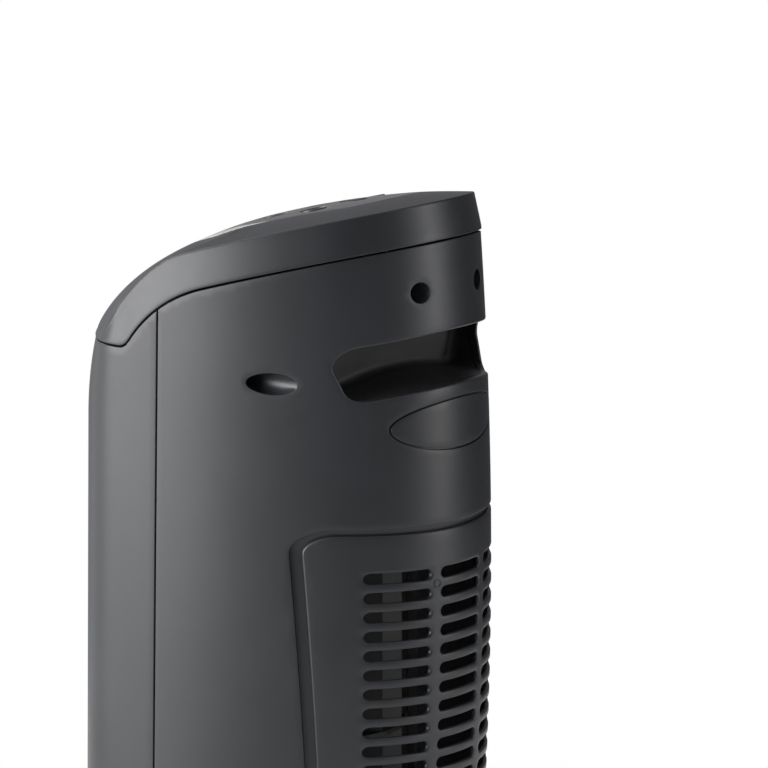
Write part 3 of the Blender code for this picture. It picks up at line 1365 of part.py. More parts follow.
def heater_element():
    """Upright ceramic bars joined by rows of folded fins."""
    low = HOUSING_LOW + HOUSING_PLATE + 2 * GAP + FRAME_RAIL
    high = HOUSING_HIGH - HOUSING_PLATE - 2 * GAP - FRAME_RAIL
    half = FRAME_HALF_WIDTH - FRAME_RAIL - GAP
    middle = (FRAME_FRONT + FRAME_BACK) / 2
    front, back = middle - ELEMENT_DEPTH / 2, middle + ELEMENT_DEPTH / 2
    centres = [share * half for share in BAR_PLACES_SHARE]
    bars = [box_outline(centre - BAR_HALF, centre + BAR_HALF, low, high) for centre in centres]
    for side in (-1, 1):
        inner, outer = sorted((side * half, side * (half - FIN_THICKNESS)))
        bars.append(box_outline(inner, outer, low, high))
    element = prisms("heater_element", bars, "Y", front, back, ALUMINIUM)
    sides = [centre + side * BAR_HALF for centre in centres for side in (-1, 1)]
    edges = [-half + FIN_THICKNESS] + sides + [half - FIN_THICKNESS]
    folds = int((high - low) / FIN_PITCH * 2) - 1
    spacing = (high - low - 2 * FIN_THICKNESS) / folds
    strips = []
    for left, right in zip(edges[::2], edges[1::2]):
        sunk = FIN_THICKNESS / 2 - FIN_SPREAD / 2
        line = []
        for fold in range(folds + 1):
            x = left - sunk if fold % 2 else right + sunk
            line.append((x, low + FIN_THICKNESS + spacing * fold))
        strips.append(folded_outline(line, FIN_SPREAD))
    join(element, prisms("fins", strips, "Y", front + GAP, back - GAP))


def folded_outline(points, spread):
    """A folded strip whose thickness is measured across, along the first coordinate."""
    right = [(u + spread / 2, v) for u, v in points]
    left = [(u - spread / 2, v) for u, v in points]
    return right + left[::-1]


def thermal_cutout():
    low = FRAME_BACK + GAP
    height = HOUSING_HIGH - HOUSING_PLATE - GAP - FRAME_RAIL / 2
    rod("thermal_cutout", CUTOUT_RADIUS, low, low + CUTOUT_LENGTH, STEEL, 16, along_y(0.0, 0.0, height))


rear_shell()
handle_pocket()
oval_plate()
intake_panel()
screws()
front_shell()
front_grille()
top_cap()
panel_trim()
control_panel()
display_lens()
control_board()
for label, (centre_x, centre_y) in BUTTON_PLACES.items():
    button(label, centre_x, centre_y)
base_shell()
base_plate()
feet()
cord_gland()
tip_over_switch()
bearing_ring()
fixed_gear()
retainer()
pinion()
swing_motor()
tower_floor()
blower_housing()
blower_bush()
blower_wheel()
drive_shaft()
blower_motor()
heater_frame()
heater_element()
thermal_cutout()
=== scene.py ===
# %% [markdown]
# # Dressing a ceramic tower heater
# A moulded tower of dark charcoal plastic turns on a round base. It has a sloped control cap, a
# carry handle sunk in its back, and a slotted air inlet below that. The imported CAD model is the
# frame here: it gives each piece its place, and this script gives the pieces their looks.

import json
import math

import bmesh
import bpy
import numpy as np
from mathutils import Matrix, Vector, kdtree
from mathutils.geometry import delaunay_2d_cdt


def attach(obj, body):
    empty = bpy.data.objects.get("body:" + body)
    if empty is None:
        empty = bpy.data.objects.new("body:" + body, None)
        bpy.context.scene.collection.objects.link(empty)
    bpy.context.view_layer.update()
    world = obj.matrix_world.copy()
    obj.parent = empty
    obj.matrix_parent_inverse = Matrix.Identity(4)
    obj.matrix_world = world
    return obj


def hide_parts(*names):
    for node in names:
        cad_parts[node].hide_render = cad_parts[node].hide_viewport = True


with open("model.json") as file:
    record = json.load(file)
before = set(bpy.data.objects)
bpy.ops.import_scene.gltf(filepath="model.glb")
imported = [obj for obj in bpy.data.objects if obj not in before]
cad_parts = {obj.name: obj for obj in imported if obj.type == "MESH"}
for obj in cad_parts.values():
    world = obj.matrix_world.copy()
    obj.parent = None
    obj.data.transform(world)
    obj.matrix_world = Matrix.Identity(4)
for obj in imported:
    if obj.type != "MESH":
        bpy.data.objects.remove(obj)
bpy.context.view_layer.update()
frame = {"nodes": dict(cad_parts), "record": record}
scene = bpy.context.scene

# %% [markdown]
# ## Camera
# The photograph looks at the back and the side from a little above, through a long lens. So the
# camera stands far off and its view is narrow. It looks down at a point high on the tower, so that
# the frame crops the base, and a small step aside puts the tower left of the middle.

# %% Camera
AZIMUTH = math.radians(128.4)
ELEVATION = math.radians(12)
DISTANCE = 2.394
LENS_PIXELS = 5700
FRAME_PIXELS, ASIDE_PIXELS = 768, 64
SENSOR, CLIP_END = 36, 20
LOOK_AT = Vector((0.0002, 0.0099, 0.3230))
SIDE_STEP = ASIDE_PIXELS * DISTANCE / LENS_PIXELS

towards_camera = Vector((
    math.sin(AZIMUTH) * math.cos(ELEVATION),
    -math.cos(AZIMUTH) * math.cos(ELEVATION),
    math.sin(ELEVATION),
))
image_right = Vector((math.cos(AZIMUTH), math.sin(AZIMUTH), 0.0))
camera_data = bpy.data.cameras.new("camera")
camera_data.sensor_width = SENSOR
camera_data.lens = SENSOR * LENS_PIXELS / FRAME_PIXELS
camera_data.clip_end = CLIP_END
camera = bpy.data.objects.new("camera", camera_data)
scene.collection.objects.link(camera)
camera.location = LOOK_AT + towards_camera * DISTANCE + image_right * SIDE_STEP
camera.rotation_euler = towards_camera.to_track_quat("Z", "Y").to_euler()
scene.camera = camera
print("lens", round(camera_data.lens, 1), "mm, at", [round(value, 3) for value in camera.location])

# %% [markdown]
# ## Shader sums in Python
# A material here is a small tree of nodes. Wrapping a socket in a class lets a mask or a height be
# written as a plain sum, and each operator adds one Math node. Colours are blended with a Mix node,
# because a Math node would turn them grey.

# %% A socket that takes part in sums
def operator(operation, reflected=False):
    """A method that adds one Math node. Reflected, as in 1 - mask, the other value comes first."""
    def method(self, other):
        first, second = (other, self) if reflected else (self, other)
        return self.finish.node("ShaderNodeMath", {"operation": operation}, {0: first, 1: second})
    return method


class Signal:
    """One output socket of a material's nodes, with Python's operators."""

    def __init__(self, finish, socket):
        self.finish = finish
        self.socket = socket

    __add__, __radd__ = operator("ADD"), operator("ADD", True)
    __sub__, __rsub__ = operator("SUBTRACT"), operator("SUBTRACT", True)
    __mul__, __rmul__ = operator("MULTIPLY"), operator("MULTIPLY", True)


# %% A material and its nodes
class Finish:
    """A node material. shade() sets what is even, and links what varies."""

    def __init__(self, name):
        self.material = bpy.data.materials.new(name)
        self.material.use_nodes = True
        self.tree = self.material.node_tree
        self.shader = self.tree.nodes["Principled BSDF"]
        self.output = self.tree.nodes["Material Output"]

    def node(self, kind, settings=None, inputs=None, output=0):
        made = self.tree.nodes.new(kind)
        for name, value in (settings or {}).items():
            setattr(made, name, value)
        for name, value in (inputs or {}).items():
            self.put(made.inputs[name], value)
        return Signal(self, made.outputs[output])

    def put(self, socket, value):
        if isinstance(value, Signal):
            self.tree.links.new(value.socket, socket)
        else:
            socket.default_value = value

    def place(self, scale=(1, 1, 1)):
        """Object coordinates, scaled."""
        start = self.node("ShaderNodeTexCoord", output=3)
        inputs = {"Vector": start, "Scale": scale}
        return self.node("ShaderNodeMapping", {"vector_type": "TEXTURE"}, inputs)

    def noise(self, size, detail=2.0, place=None, roughness=0.5):
        """Noise whose blobs are about as large as size, in metres."""
        where = place or self.place()
        inputs = {"Vector": where, "Scale": 1 / size, "Detail": detail, "Roughness": roughness}
        return self.node("ShaderNodeTexNoise", {}, inputs)

    def blend(self, share, first, second):
        mixed = self.node("ShaderNodeMix", {"data_type": "RGBA"})
        node = mixed.socket.node
        colour_in = [socket for socket in node.inputs if socket.type == "RGBA"]
        self.put(node.inputs[0], share)
        for socket, colour in zip(colour_in, (first, second)):
            self.put(socket, colour if isinstance(colour, Signal) else (*colour, 1))
        return Signal(self, [socket for socket in node.outputs if socket.type == "RGBA"][0])

    def limit(self, value, low, high, to_low=0.0, to_high=1.0):
        """Maps a range onto another, and stops at its ends."""
        inputs = {0: value, 1: low, 2: high, 3: to_low, 4: to_high}
        return self.node("ShaderNodeMapRange", {"interpolation_type": "SMOOTHSTEP"}, inputs)

    def bump(self, height, distance):
        return self.node("ShaderNodeBump", {}, {"Height": height, "Distance": distance, "Strength": 1.0})

    def mottle(self, patch, low, high, first, second, metallic=0.0):
        """A colour that shifts from one to another as a patch of noise rises from low to high."""
        return {"Base_Color": self.blend(self.limit(patch, low, high), first, second), "Metallic": metallic}

    def shade(self, **values):
        for name, value in values.items():
            socket = self.shader.inputs[name.replace("_", " ")]
            if not isinstance(value, Signal) and socket.type == "RGBA":
                value = (*value, 1)
            self.put(socket, value)
        return self.material


print("shader sums ready")

# %% [markdown]
# ## Charcoal plastic
# The shells are moulded with a fine spark-etched texture, so they are satin: dark, a little bluish,
# with soft broad highlights. Three sizes of noise do it. The finest is a bump that breaks the
# gloss up, the next varies the roughness, and the largest shifts the colour a touch, as uneven
# cooling and handling do.

# %% Charcoal plastic
def charcoal_plastic(name, colour, roughness, grain=0.00036, depth=0.000016):
    finish = Finish(name)
    even = finish.noise(0.045, 3.0)
    fine = finish.noise(grain, 3.0, roughness=0.6)
    patch = finish.noise(0.004, 2.0)
    darker = tuple(0.90 * value for value in colour)
    lighter = tuple(1.10 * value for value in colour)
    return finish.shade(
        Base_Color=finish.blend(finish.limit(even, 0.3, 0.7), darker, lighter),
        Roughness=roughness - 0.03 + 0.06 * patch,
        Specular_IOR_Level=0.5,
        Normal=finish.bump(fine, depth),
    )


CHARCOAL_COLOUR = (0.0178, 0.0190, 0.0222)
charcoal = charcoal_plastic("charcoal_plastic_fine", CHARCOAL_COLOUR, 0.40)
print("charcoal plastic:", len(charcoal.node_tree.nodes), "nodes")

# %% [markdown]
# ## The tower's skin as a rule
# Every outer piece lies on one surface. Its outline is made of tangent arcs that are fixed for the
# whole tower, while its width and its back line change with height, and its front half draws in
# under the hood. So a point of the skin has two numbers: how far round it is from the middle of the
# back, and its height. The unrolled skin is flat, and a piece can be drawn on it as on paper.

# %% The outline's arcs, unrolled
TOWER_HALF_WIDTH = 0.0787
WIDTH_HEIGHT = 0.255
WIDTH_GROWTH = 0.025
TOWER_BACK = 0.0859
TOWER_FRONT = 0.0893
FRONT_DEPTH = 0.0523
TOWER_LOW = 0.046
BOW_HEIGHT = 0.260
BOW_DEPTH = 0.01487
BOW_RADIUS = (BOW_HEIGHT - TOWER_LOW) ** 2 / (2 * BOW_DEPTH)
HOOD_START = 0.3113
HOOD_RADIUS = 0.0777
HOOD_SHARE = 0.95
LEAN_POWER = 2
WALL = 0.003
GAP = 0.0003
ARC_SHARES = ((45, 0.69), (60, 1.18), (90, 2.44), (130, 0.41), (180, None))
SAMPLES_PER_DEGREE = 8
HALVINGS = 44


def outline_table():
    """Rows of (normal angle, x, y) round half the outline, in the arcs' own unit."""
    rows = []
    start, x, y = 0.0, 0.0, 0.0
    for end, radius in ARC_SHARES:
        if radius is None:
            radius = x / math.sin(math.radians(start))
        samples = SAMPLES_PER_DEGREE * int(end - start)
        turns = np.radians(np.linspace(start, end, samples, endpoint=False))
        first = math.radians(start)
        across = x + radius * (np.sin(turns) - math.sin(first))
        back = y - radius * (math.cos(first) - np.cos(turns))
        rows.append(np.stack([turns, across, back], 1))
        last = math.radians(end)
        x += radius * (math.sin(last) - math.sin(first))
        y -= radius * (math.cos(first) - math.cos(last))
        start = float(end)
    rows.append(np.array([[math.pi, 0.0, y]]))
    return np.concatenate(rows)


outline = outline_table()
side = int(np.argmin(abs(outline[:, 0] - math.pi / 2)))
widest_x, widest_y = outline[side, 1], outline[side, 2]
reach_of = np.where(outline[:, 2] >= widest_y, -widest_y, widest_y - outline[-1, 2])
X_SHARE = outline[:, 1] / widest_x
Y_SHARE = (outline[:, 2] - widest_y) / reach_of
OUT_X, OUT_Y = np.sin(outline[:, 0]), np.cos(outline[:, 0])
print("outline samples:", len(outline))


# %% Skin points
def half_width(z):
    return TOWER_HALF_WIDTH + (WIDTH_HEIGHT - z) * WIDTH_GROWTH


def back_line(z):
    return TOWER_BACK - (z - BOW_HEIGHT) ** 2 / (2 * BOW_RADIUS)


def hood_lean(z):
    """How far the front has drawn in at a height, along an arc that never quite levels out."""
    share = np.clip((z - HOOD_START) / HOOD_RADIUS, 0.0, HOOD_SHARE)
    return HOOD_RADIUS * (1 - np.sqrt(1 - share * share))


WIDEST = FRONT_DEPTH - TOWER_FRONT


def reach_to(y_share, z, lean=0.0):
    """How far the tower reaches from its widest line, to the back or to the front."""
    return np.where(y_share >= 0, back_line(z) - WIDEST, FRONT_DEPTH - lean)


def section_lengths(z):
    """Distance round the outline to each sample, measured at one height under the hood."""
    steps = np.hypot(np.diff(X_SHARE * half_width(z)), np.diff(Y_SHARE * reach_to(Y_SHARE, z)))
    return np.concatenate([[0.0], np.cumsum(steps)])


ROUND = section_lengths(WIDTH_HEIGHT)
HALF_ROUND = float(ROUND[-1])
SIDE_ROUND = float(ROUND[side])


def skin(around, z, depth=0.0):
    """Points on the skin, or a depth under it. around is the distance from the middle of the back."""
    around = np.asarray(around, float)
    z = np.broadcast_to(np.asarray(z, float), around.shape)
    reach = np.minimum(abs(around), HALF_ROUND)
    out_x, out_y, x_share, y_share = (
        np.interp(reach, ROUND, column) for column in (OUT_X, OUT_Y, X_SHARE, Y_SHARE)
    )
    y = WIDEST + y_share * reach_to(y_share, z, hood_lean(z)) - out_y * depth
    x = np.where(around < 0, -1.0, 1.0) * (x_share * half_width(z) - out_x * depth)
    return np.stack([x, y, z], -1)


def front_skin(across, z, depth=0.0):
    """The same, measured from the middle of the front."""
    across = np.asarray(across, float)
    around = np.where(across < 0, -1.0, 1.0) * (HALF_ROUND - abs(across))
    return skin(around, z, depth)


print("once round the tower:", round(2000 * HALF_ROUND, 1), "mm")


# %% From a view onto the skin
def settle(wanted, measure, low, high):
    """Halves the interval until measure(value) meets wanted. measure rises with the value."""
    low, high = (np.broadcast_to(end, np.shape(wanted)).astype(float) for end in (low, high))
    for _ in range(HALVINGS):
        middle = (low + high) / 2
        under = measure(middle) < wanted
        low, high = np.where(under, middle, low), np.where(under, high, middle)
    return (low + high) / 2


def on_back(points, depth=0.0):
    """Places seen straight from the back, (x, z), as places on the unrolled skin."""
    x, z = np.asarray(points, float).T
    reach = settle(abs(x), lambda value: skin(value, z, depth)[..., 0], 0.0, SIDE_ROUND)
    return np.stack([np.where(x < 0, -reach, reach), z], 1)


def on_front(points, depth=0.0):
    """The same from the front."""
    x, z = np.asarray(points, float).T
    reach = settle(abs(x), lambda value: front_skin(value, z, depth)[..., 0], 0.0, HALF_ROUND - SIDE_ROUND)
    return np.stack([np.where(x < 0, -reach, reach), z], 1)


def round_at_y(y, z, depth=0.0):
    """How far round the skin the plane at y lies."""
    z = np.asarray(z, float)
    return settle(-np.broadcast_to(y, z.shape), lambda value: -skin(value, z, depth)[..., 1], 0.0, HALF_ROUND)


print("a place 60 mm aside lies", round(1000 * float(on_back([(0.06, WIDTH_HEIGHT)])[0, 0]), 1), "mm round")

# %% [markdown]
# ## Moulded sheets
# A moulded wall is one closed surface: an outer face, an inner face, and rims that join them. Each
# opening has a rounded edge that catches a thin line of light, and it is this line that makes
# plastic look real. So a piece is drawn flat: its border and holes are loops, each loop gets rings
# of faces for its rounded edge, and a triangulation fills the field between the loops. A Boolean
# cut with a Bevel would leave uneven edges on this curved skin, so the rings are laid one by one.

# %% Loops on the flat pattern
def anticlockwise(loop):
    x, y = loop.T
    area = np.sum(x * np.roll(y, -1) - y * np.roll(x, -1))
    return loop if area > 0 else loop[::-1]


def offset_loop(loop, distance):
    """Moves an anticlockwise loop inwards, with mitred corners. A negative distance moves it outwards."""
    runs = np.roll(loop, -1, 0) - loop
    runs = runs / np.linalg.norm(runs, axis=1)[:, None]
    after = np.stack([-runs[:, 1], runs[:, 0]], 1)
    corner = after + np.roll(after, 1, 0)
    return loop + distance * 2 * corner / np.sum(corner * corner, 1)[:, None]


def even(points, spacing=0.001, count=None):
    """Points at an even spacing round a loop, or a wanted number of them."""
    points = np.concatenate([points, points[:1]])
    lengths = np.concatenate([[0.0], np.cumsum(np.linalg.norm(np.diff(points, axis=0), axis=1))])
    count = count or int(round(lengths[-1] / spacing))
    places = np.linspace(0, lengths[-1], count, endpoint=False)
    return np.stack([np.interp(places, lengths, column) for column in points.T], 1)


def rounded_corners(corners, radius, steps=16):
    """A convex outline with an arc at each corner."""
    points = []
    for index, corner in enumerate(corners):
        here = Vector(corner)
        to_last = (Vector(corners[index - 1]) - here).normalized()
        to_next = (Vector(corners[(index + 1) % len(corners)]) - here).normalized()
        half = to_last.angle(to_next) / 2
        centre = here + (to_last + to_next).normalized() * (radius / math.sin(half))
        start = here + to_last * (radius / math.tan(half)) - centre
        turn = start.angle_signed(here + to_next * (radius / math.tan(half)) - centre)
        for step in range(steps + 1):
            points.append(tuple(centre + Matrix.Rotation(-turn * step / steps, 2) @ start))
    return anticlockwise(np.array(points))


def circle(x, y, radius, steps=48, y_radius=None):
    turns = np.linspace(0, 2 * math.pi, steps, endpoint=False)
    return np.stack([x + radius * np.cos(turns), y + (y_radius or radius) * np.sin(turns)], 1)


def fillet(radius, steps=4):
    """(distance in from the edge, depth) of a rounded edge, from its wall to its face."""
    turns = [math.pi / 2 * step / steps for step in range(steps + 1)]
    return [(radius * (1 - math.cos(turn)), radius * (1 - math.sin(turn))) for turn in turns]


def inside(points, loop):
    """Which points lie inside a loop, by counting the edges to their right."""
    found = np.zeros(len(points), bool)
    low, high = loop.min(0), loop.max(0)
    near = np.all((points >= low) & (points <= high), 1)
    x, y = points[near].T
    count = np.zeros(len(x), int)
    for (x0, y0), (x1, y1) in zip(loop, np.roll(loop, -1, 0)):
        crosses = (y0 > y) != (y1 > y)
        if crosses.any():
            at = x0 + (y[crosses] - y0) * (x1 - x0) / (y1 - y0)
            count[np.flatnonzero(crosses)[at > x[crosses]]] += 1
    found[near] = count % 2 == 1
    return found


print("a fillet of 1 mm:", [(round(1000 * a, 2), round(1000 * b, 2)) for a, b in fillet(0.001, 3)])


# %% A moulding: points and faces of one closed piece
EDGE_CLEARANCE = 0.6


class Moulding:
    """Collects one piece. place(u, v, depth) lays the flat pattern on its surface."""

    def __init__(self, place):
        self.place = place
        self.points = []
        self.faces = []
        self.count = 0

    def add(self, points):
        points = np.asarray(points, float)
        self.points.append(points)
        self.count += len(points)
        return np.arange(self.count - len(points), self.count)

    def ring(self, flat, depth):
        return self.add(self.place(flat[:, 0], flat[:, 1], depth))

    def bridge(self, first, second, open_ends=False):
        for index in range(len(first) - open_ends):
            after = (index + 1) % len(first)
            self.faces.append((first[index], first[after], second[after], second[index]))

    def join(self, rings, closed=False, open_ends=False):
        """Bridges each ring to the next one, and the last to the first where the form is closed."""
        after = rings[1:] + rings[:1] if closed else rings[1:]
        for first, second in zip(rings, after):
            self.bridge(first, second, open_ends)

    def edge(self, loop, profile, hole=False):
        """Rings along a loop. A profile's distances go into the material. Gives the first and last."""
        flats = [offset_loop(loop, -distance if hole else distance) for distance, _ in profile]
        rings = [self.ring(flat, depth) for flat, (_, depth) in zip(flats, profile)]
        self.join(rings)
        return (flats[0], rings[0]), (flats[-1], rings[-1])

    def plate(self, loop, thickness, rounding, steps, holes=()):
        """A plate with a rounded upper edge. Each hole is a loop and its own (radius, steps)."""
        low, high = self.edge(loop, [(0.0, thickness)] + fillet(*rounding))
        edges = []
        for hole, softened in holes:
            edges.append(self.edge(hole, [(0.0, thickness)] + fillet(*softened), hole=True))
        self.fill(high, [edge[1] for edge in edges], steps[0])
        self.fill(low, [edge[0] for edge in edges], steps[1], thickness)

    def fill(self, outer, holes, step, depth=0.0):
        """Triangulates the field between loops, each given as (flat points, their numbers)."""
        loops = [outer] + list(holes)
        low, high = outer[0].min(0), outer[0].max(0)
        columns = np.arange(low[0] + step / 2, high[0], step)
        rows = np.arange(low[1] + step / 2, high[1], step)
        grid = np.stack(np.meshgrid(columns, rows, indexing="ij"), -1).reshape(-1, 2)
        keep = inside(grid, outer[0])
        for flat, _ in holes:
            keep &= ~inside(grid, flat)
        grid = grid[keep]
        edge_points = np.concatenate([flat for flat, _ in loops])
        tree = kdtree.KDTree(len(edge_points))
        for index, point in enumerate(edge_points):
            tree.insert((*point, 0.0), index)
        tree.balance()
        numbers = np.concatenate([number for _, number in loops])
        if len(grid):
            grid = grid[[tree.find((*point, 0.0))[2] > EDGE_CLEARANCE * step for point in grid]]
        if len(grid):
            numbers = np.concatenate([numbers, self.ring(grid, depth)])
        flat = np.concatenate([edge_points, grid]) * 1000
        edges, start = [], 0
        loop_of, place_of = np.full(len(flat), -1), np.zeros(len(flat), int)
        for index, (loop, _) in enumerate(loops):
            here = start + np.arange(len(loop))
            edges += list(zip(here.tolist(), np.roll(here, -1).tolist()))
            loop_of[here], place_of[here] = index, np.arange(len(loop))
            start += len(loop)
        _, _, faces, origins, _, _ = delaunay_2d_cdt([Vector(point) for point in flat], edges, [], 0, 1e-5)
        source = np.array([origin[0] for origin in origins])
        triangles = source[np.array([face for face in faces if len(face) == 3])]
        centres = flat[triangles].mean(1)
        good = inside(centres, outer[0] * 1000)
        for loop, _ in holes:
            good &= ~inside(centres, loop * 1000)
        # A thin triangle with all its corners on one loop is judged by their order round that loop
        owner, turn = loop_of[triangles], place_of[triangles]
        same = (owner[:, 0] >= 0) & (owner == owner[:, :1]).all(1)
        forwards = (turn < np.roll(turn, -1, 1)).sum(1) == 2
        good = np.where(same, forwards == (owner[:, 0] == 0), good)
        self.faces += [tuple(numbers[corner] for corner in face) for face in triangles[good]]

    def lining(self, edge, depth, flat=None):
        """Joins an edge to a ring at a depth under it, and gives that ring."""
        flat = edge[0] if flat is None else flat
        inner = self.ring(flat, depth)
        self.bridge(edge[1], inner)
        return flat, inner

    def cap(self, ring):
        """Closes a ring with a fan."""
        centre = self.add([np.concatenate(self.points)[ring].mean(0)])[0]
        for index in range(len(ring)):
            self.faces.append((ring[index], ring[(index + 1) % len(ring)], centre))

    def mesh(self, name, weld=0.0):
        bm = bmesh.new()
        verts = [bm.verts.new(point) for point in np.concatenate(self.points)]
        for face in self.faces:
            if len(set(face)) == len(face):
                bm.faces.new([verts[corner] for corner in face])
        if weld:
            bmesh.ops.remove_doubles(bm, verts=bm.verts, dist=weld)
        loose = [vert for vert in bm.verts if not vert.link_faces]
        bmesh.ops.delete(bm, geom=loose, context="VERTS")
        bmesh.ops.recalc_face_normals(bm, faces=bm.faces)
        open_edges = sum(1 for edge in bm.edges if len(edge.link_faces) != 2)
        made = bpy.data.meshes.new(name)
        bm.to_mesh(made)
        bm.free()
        print(name, "faces:", len(made.polygons), "open edges:", open_edges)
        return made


# %% From mesh to dressed piece
def dress(name, mesh, finish, nodes, body="tower", sharp=40):
    """Makes the object, gives it its material, and hides the CAD nodes it stands for."""
    piece = bpy.data.objects.new(name, mesh)
    scene.collection.objects.link(piece)
    mesh.materials.clear()
    mesh.materials.append(finish)
    mesh.shade_smooth()
    mesh.set_sharp_from_angle(angle=math.radians(sharp))
    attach(piece, body)
    if nodes:
        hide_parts(*nodes)


def dress_node(node, moulding, finish, body="tower", sharp=40, weld=0.0):
    """Dresses one CAD node with a moulding."""
    name = node + "_dressed"
    dress(name, moulding.mesh(name, weld), finish, [node], body, sharp)


print("moulding helpers ready")

# %% [markdown]
# ## The seam under the cap
# Seen from the side the cap ends along a line that runs level with the sloped top, then turns
# down over the hood in an arc and flattens out at the front. The shells stop just under that line
# and the cap starts just above it, which leaves the thin dark gap of a real seam.

# %% The seam line
TOP_HEIGHT = 0.389
TOP_SLOPE = 0.298
TOP_BOW_RADIUS = 1.15
BAND_HEIGHT = 0.0167
HIP_START = 0.005
HIP_RADIUS = 0.066
HIP_ANGLE = 55
FOOT_RADIUS = 0.0063
SEAM_GAP = 0.0008
SHELL_SPLIT = -0.0158
SPLIT_GAP = 0.0006
FAR, SEAM_HEIGHTS = 0.2, (0.2, 0.45)


def top_line(y):
    return TOP_HEIGHT + TOP_SLOPE * y - y * y / (2 * TOP_BOW_RADIUS)


def seam_points(steps=40):
    start = math.atan(TOP_SLOPE - HIP_START / TOP_BOW_RADIUS)
    steepest = math.radians(HIP_ANGLE)
    hip_turns = np.linspace(start, steepest, steps)
    hip_y = HIP_START - HIP_RADIUS * (np.sin(hip_turns) - math.sin(start))
    hip_z = top_line(HIP_START) - BAND_HEIGHT - HIP_RADIUS * (math.cos(start) - np.cos(hip_turns))
    foot_turns = np.linspace(steepest, 0, steps)[1:]
    foot_y = hip_y[-1] - FOOT_RADIUS * (math.sin(steepest) - np.sin(foot_turns))
    foot_z = hip_z[-1] - FOOT_RADIUS * (np.cos(foot_turns) - math.cos(steepest))
    rear_y = np.linspace(HIP_START, FAR, steps)[1:]
    y = np.concatenate([[-FAR], foot_y[::-1], hip_y[::-1], rear_y])
    z = np.concatenate([[foot_z[-1]], foot_z[::-1], hip_z[::-1], top_line(rear_y) - BAND_HEIGHT])
    return y, z


SEAM_Y, SEAM_Z = seam_points()


def seam(y):
    return np.interp(y, SEAM_Y, SEAM_Z)


def seam_height(place, across, shift, depth=0.0):
    """Height at which the skin crosses the seam, moved up by shift."""
    across = np.asarray(across, float)
    over = lambda z: z - shift - seam(place(across, z, depth)[..., 1])
    return settle(np.zeros(len(across)), over, *SEAM_HEIGHTS)


print("seam at the front", np.round(1000 * seam(-0.08), 1), "mm, at the back", np.round(1000 * seam(0.08), 1))

# %% [markdown]
# ## Rear shell
# The back and most of the sides are one moulding. It carries the handle opening, an oval rebate,
# the rebate of the air inlet, two screw wells under the cap and two more that break out through
# the curved sides as pointed leaves. Each opening keeps its own edge: broad and soft at the
# handle, crisp at the wells.

# %% Border of a half shell
def shell_border(place, split_round, top, spacing=0.0016):
    """The flat border of a shell from the tower's foot up to the seam. split_round(z) is its side."""
    heights = np.arange(TOWER_LOW, top, spacing)
    foot = float(split_round(np.array([TOWER_LOW]))[0])
    crown = float(split_round(np.array([top]))[0])
    low = np.linspace(-foot, foot, int(2 * foot / spacing), endpoint=False)
    high = np.linspace(crown, -crown, int(2 * crown / spacing), endpoint=False)
    sides = split_round(heights)
    return np.concatenate([
        np.stack([low, np.full(len(low), TOWER_LOW)], 1),
        np.stack([sides, heights], 1),
        np.stack([high, seam_height(place, high, -SEAM_GAP / 2)], 1),
        np.stack([-sides[1:], heights[1:]], 1)[::-1],
    ])


REAR_EDGE = SHELL_SPLIT + SPLIT_GAP / 2
rear_top = float(seam(REAR_EDGE)) - SEAM_GAP / 2
rear_border = shell_border(skin, lambda z: round_at_y(REAR_EDGE, z), rear_top)
print("rear border points:", len(rear_border))

# %% Openings as they are seen from the back
HANDLE_HALF_TOP, HANDLE_HALF_LOW = 0.050, 0.044
HANDLE_HIGH, HANDLE_LOW, HANDLE_ROUND, HANDLE_ARCH = 0.3495, 0.3270, 0.007, 0.0065
OVAL_HEIGHT, OVAL_HALF_WIDTH, OVAL_HALF_HEIGHT, OVAL_GROOVE = 0.3172, 0.033, 0.0101, 0.0008
INTAKE_HIGH, INTAKE_LOW, INTAKE_HALF_TOP, INTAKE_HALF_LOW = 0.2761, 0.1280, 0.0598, 0.0554
INTAKE_ROUND, INTAKE_GROOVE, INTAKE_LEDGE, INTAKE_THICKNESS = 0.0105, 0.0026, 0.0030, 0.0015
OVAL_POINTS, HANDLE_SPACING = 360, 0.0011


def trapezium(half_low, half_high, low, high, radius, inset=0.0):
    """A rounded trapezium seen from one side, drawn in all round by an inset."""
    half_low, half_high = half_low - inset, half_high - inset
    low, high = low + inset, high - inset
    corners = [(-half_low, low), (half_low, low), (half_high, high), (-half_high, high)]
    return rounded_corners(corners, radius - inset)


def intake_outline(inset):
    return trapezium(INTAKE_HALF_LOW, INTAKE_HALF_TOP, INTAKE_LOW, INTAKE_HIGH, INTAKE_ROUND, inset)


def oval_outline(grow):
    return circle(0.0, OVAL_HEIGHT, OVAL_HALF_WIDTH + grow, OVAL_POINTS, OVAL_HALF_HEIGHT + grow)


# The handle's long edges arch up together
handle_corners = trapezium(HANDLE_HALF_LOW, HANDLE_HALF_TOP, HANDLE_LOW, HANDLE_HIGH, HANDLE_ROUND)
handle_view = even(handle_corners, HANDLE_SPACING)
handle_view[:, 1] += HANDLE_ARCH * (1 - (handle_view[:, 0] / HANDLE_HALF_TOP) ** 2)
intake_view = intake_outline(0.0)
oval_view = oval_outline(OVAL_GROOVE)
print("handle outline points:", len(handle_view))

# %% Rear shell: border, handle, oval and inlet
SHELL_EDGE, HANDLE_EDGE, OVAL_EDGE, INTAKE_EDGE = 0.00032, 0.0009, 0.00022, 0.00045
OVAL_DEPTH, LEDGE_CHAMFER = 0.0013, 0.0004
FIELD_STEP, FLAT_STEP, INNER_STEP = 0.0026, 0.003, 0.006
FINE, COARSE = 0.0010, 0.0015

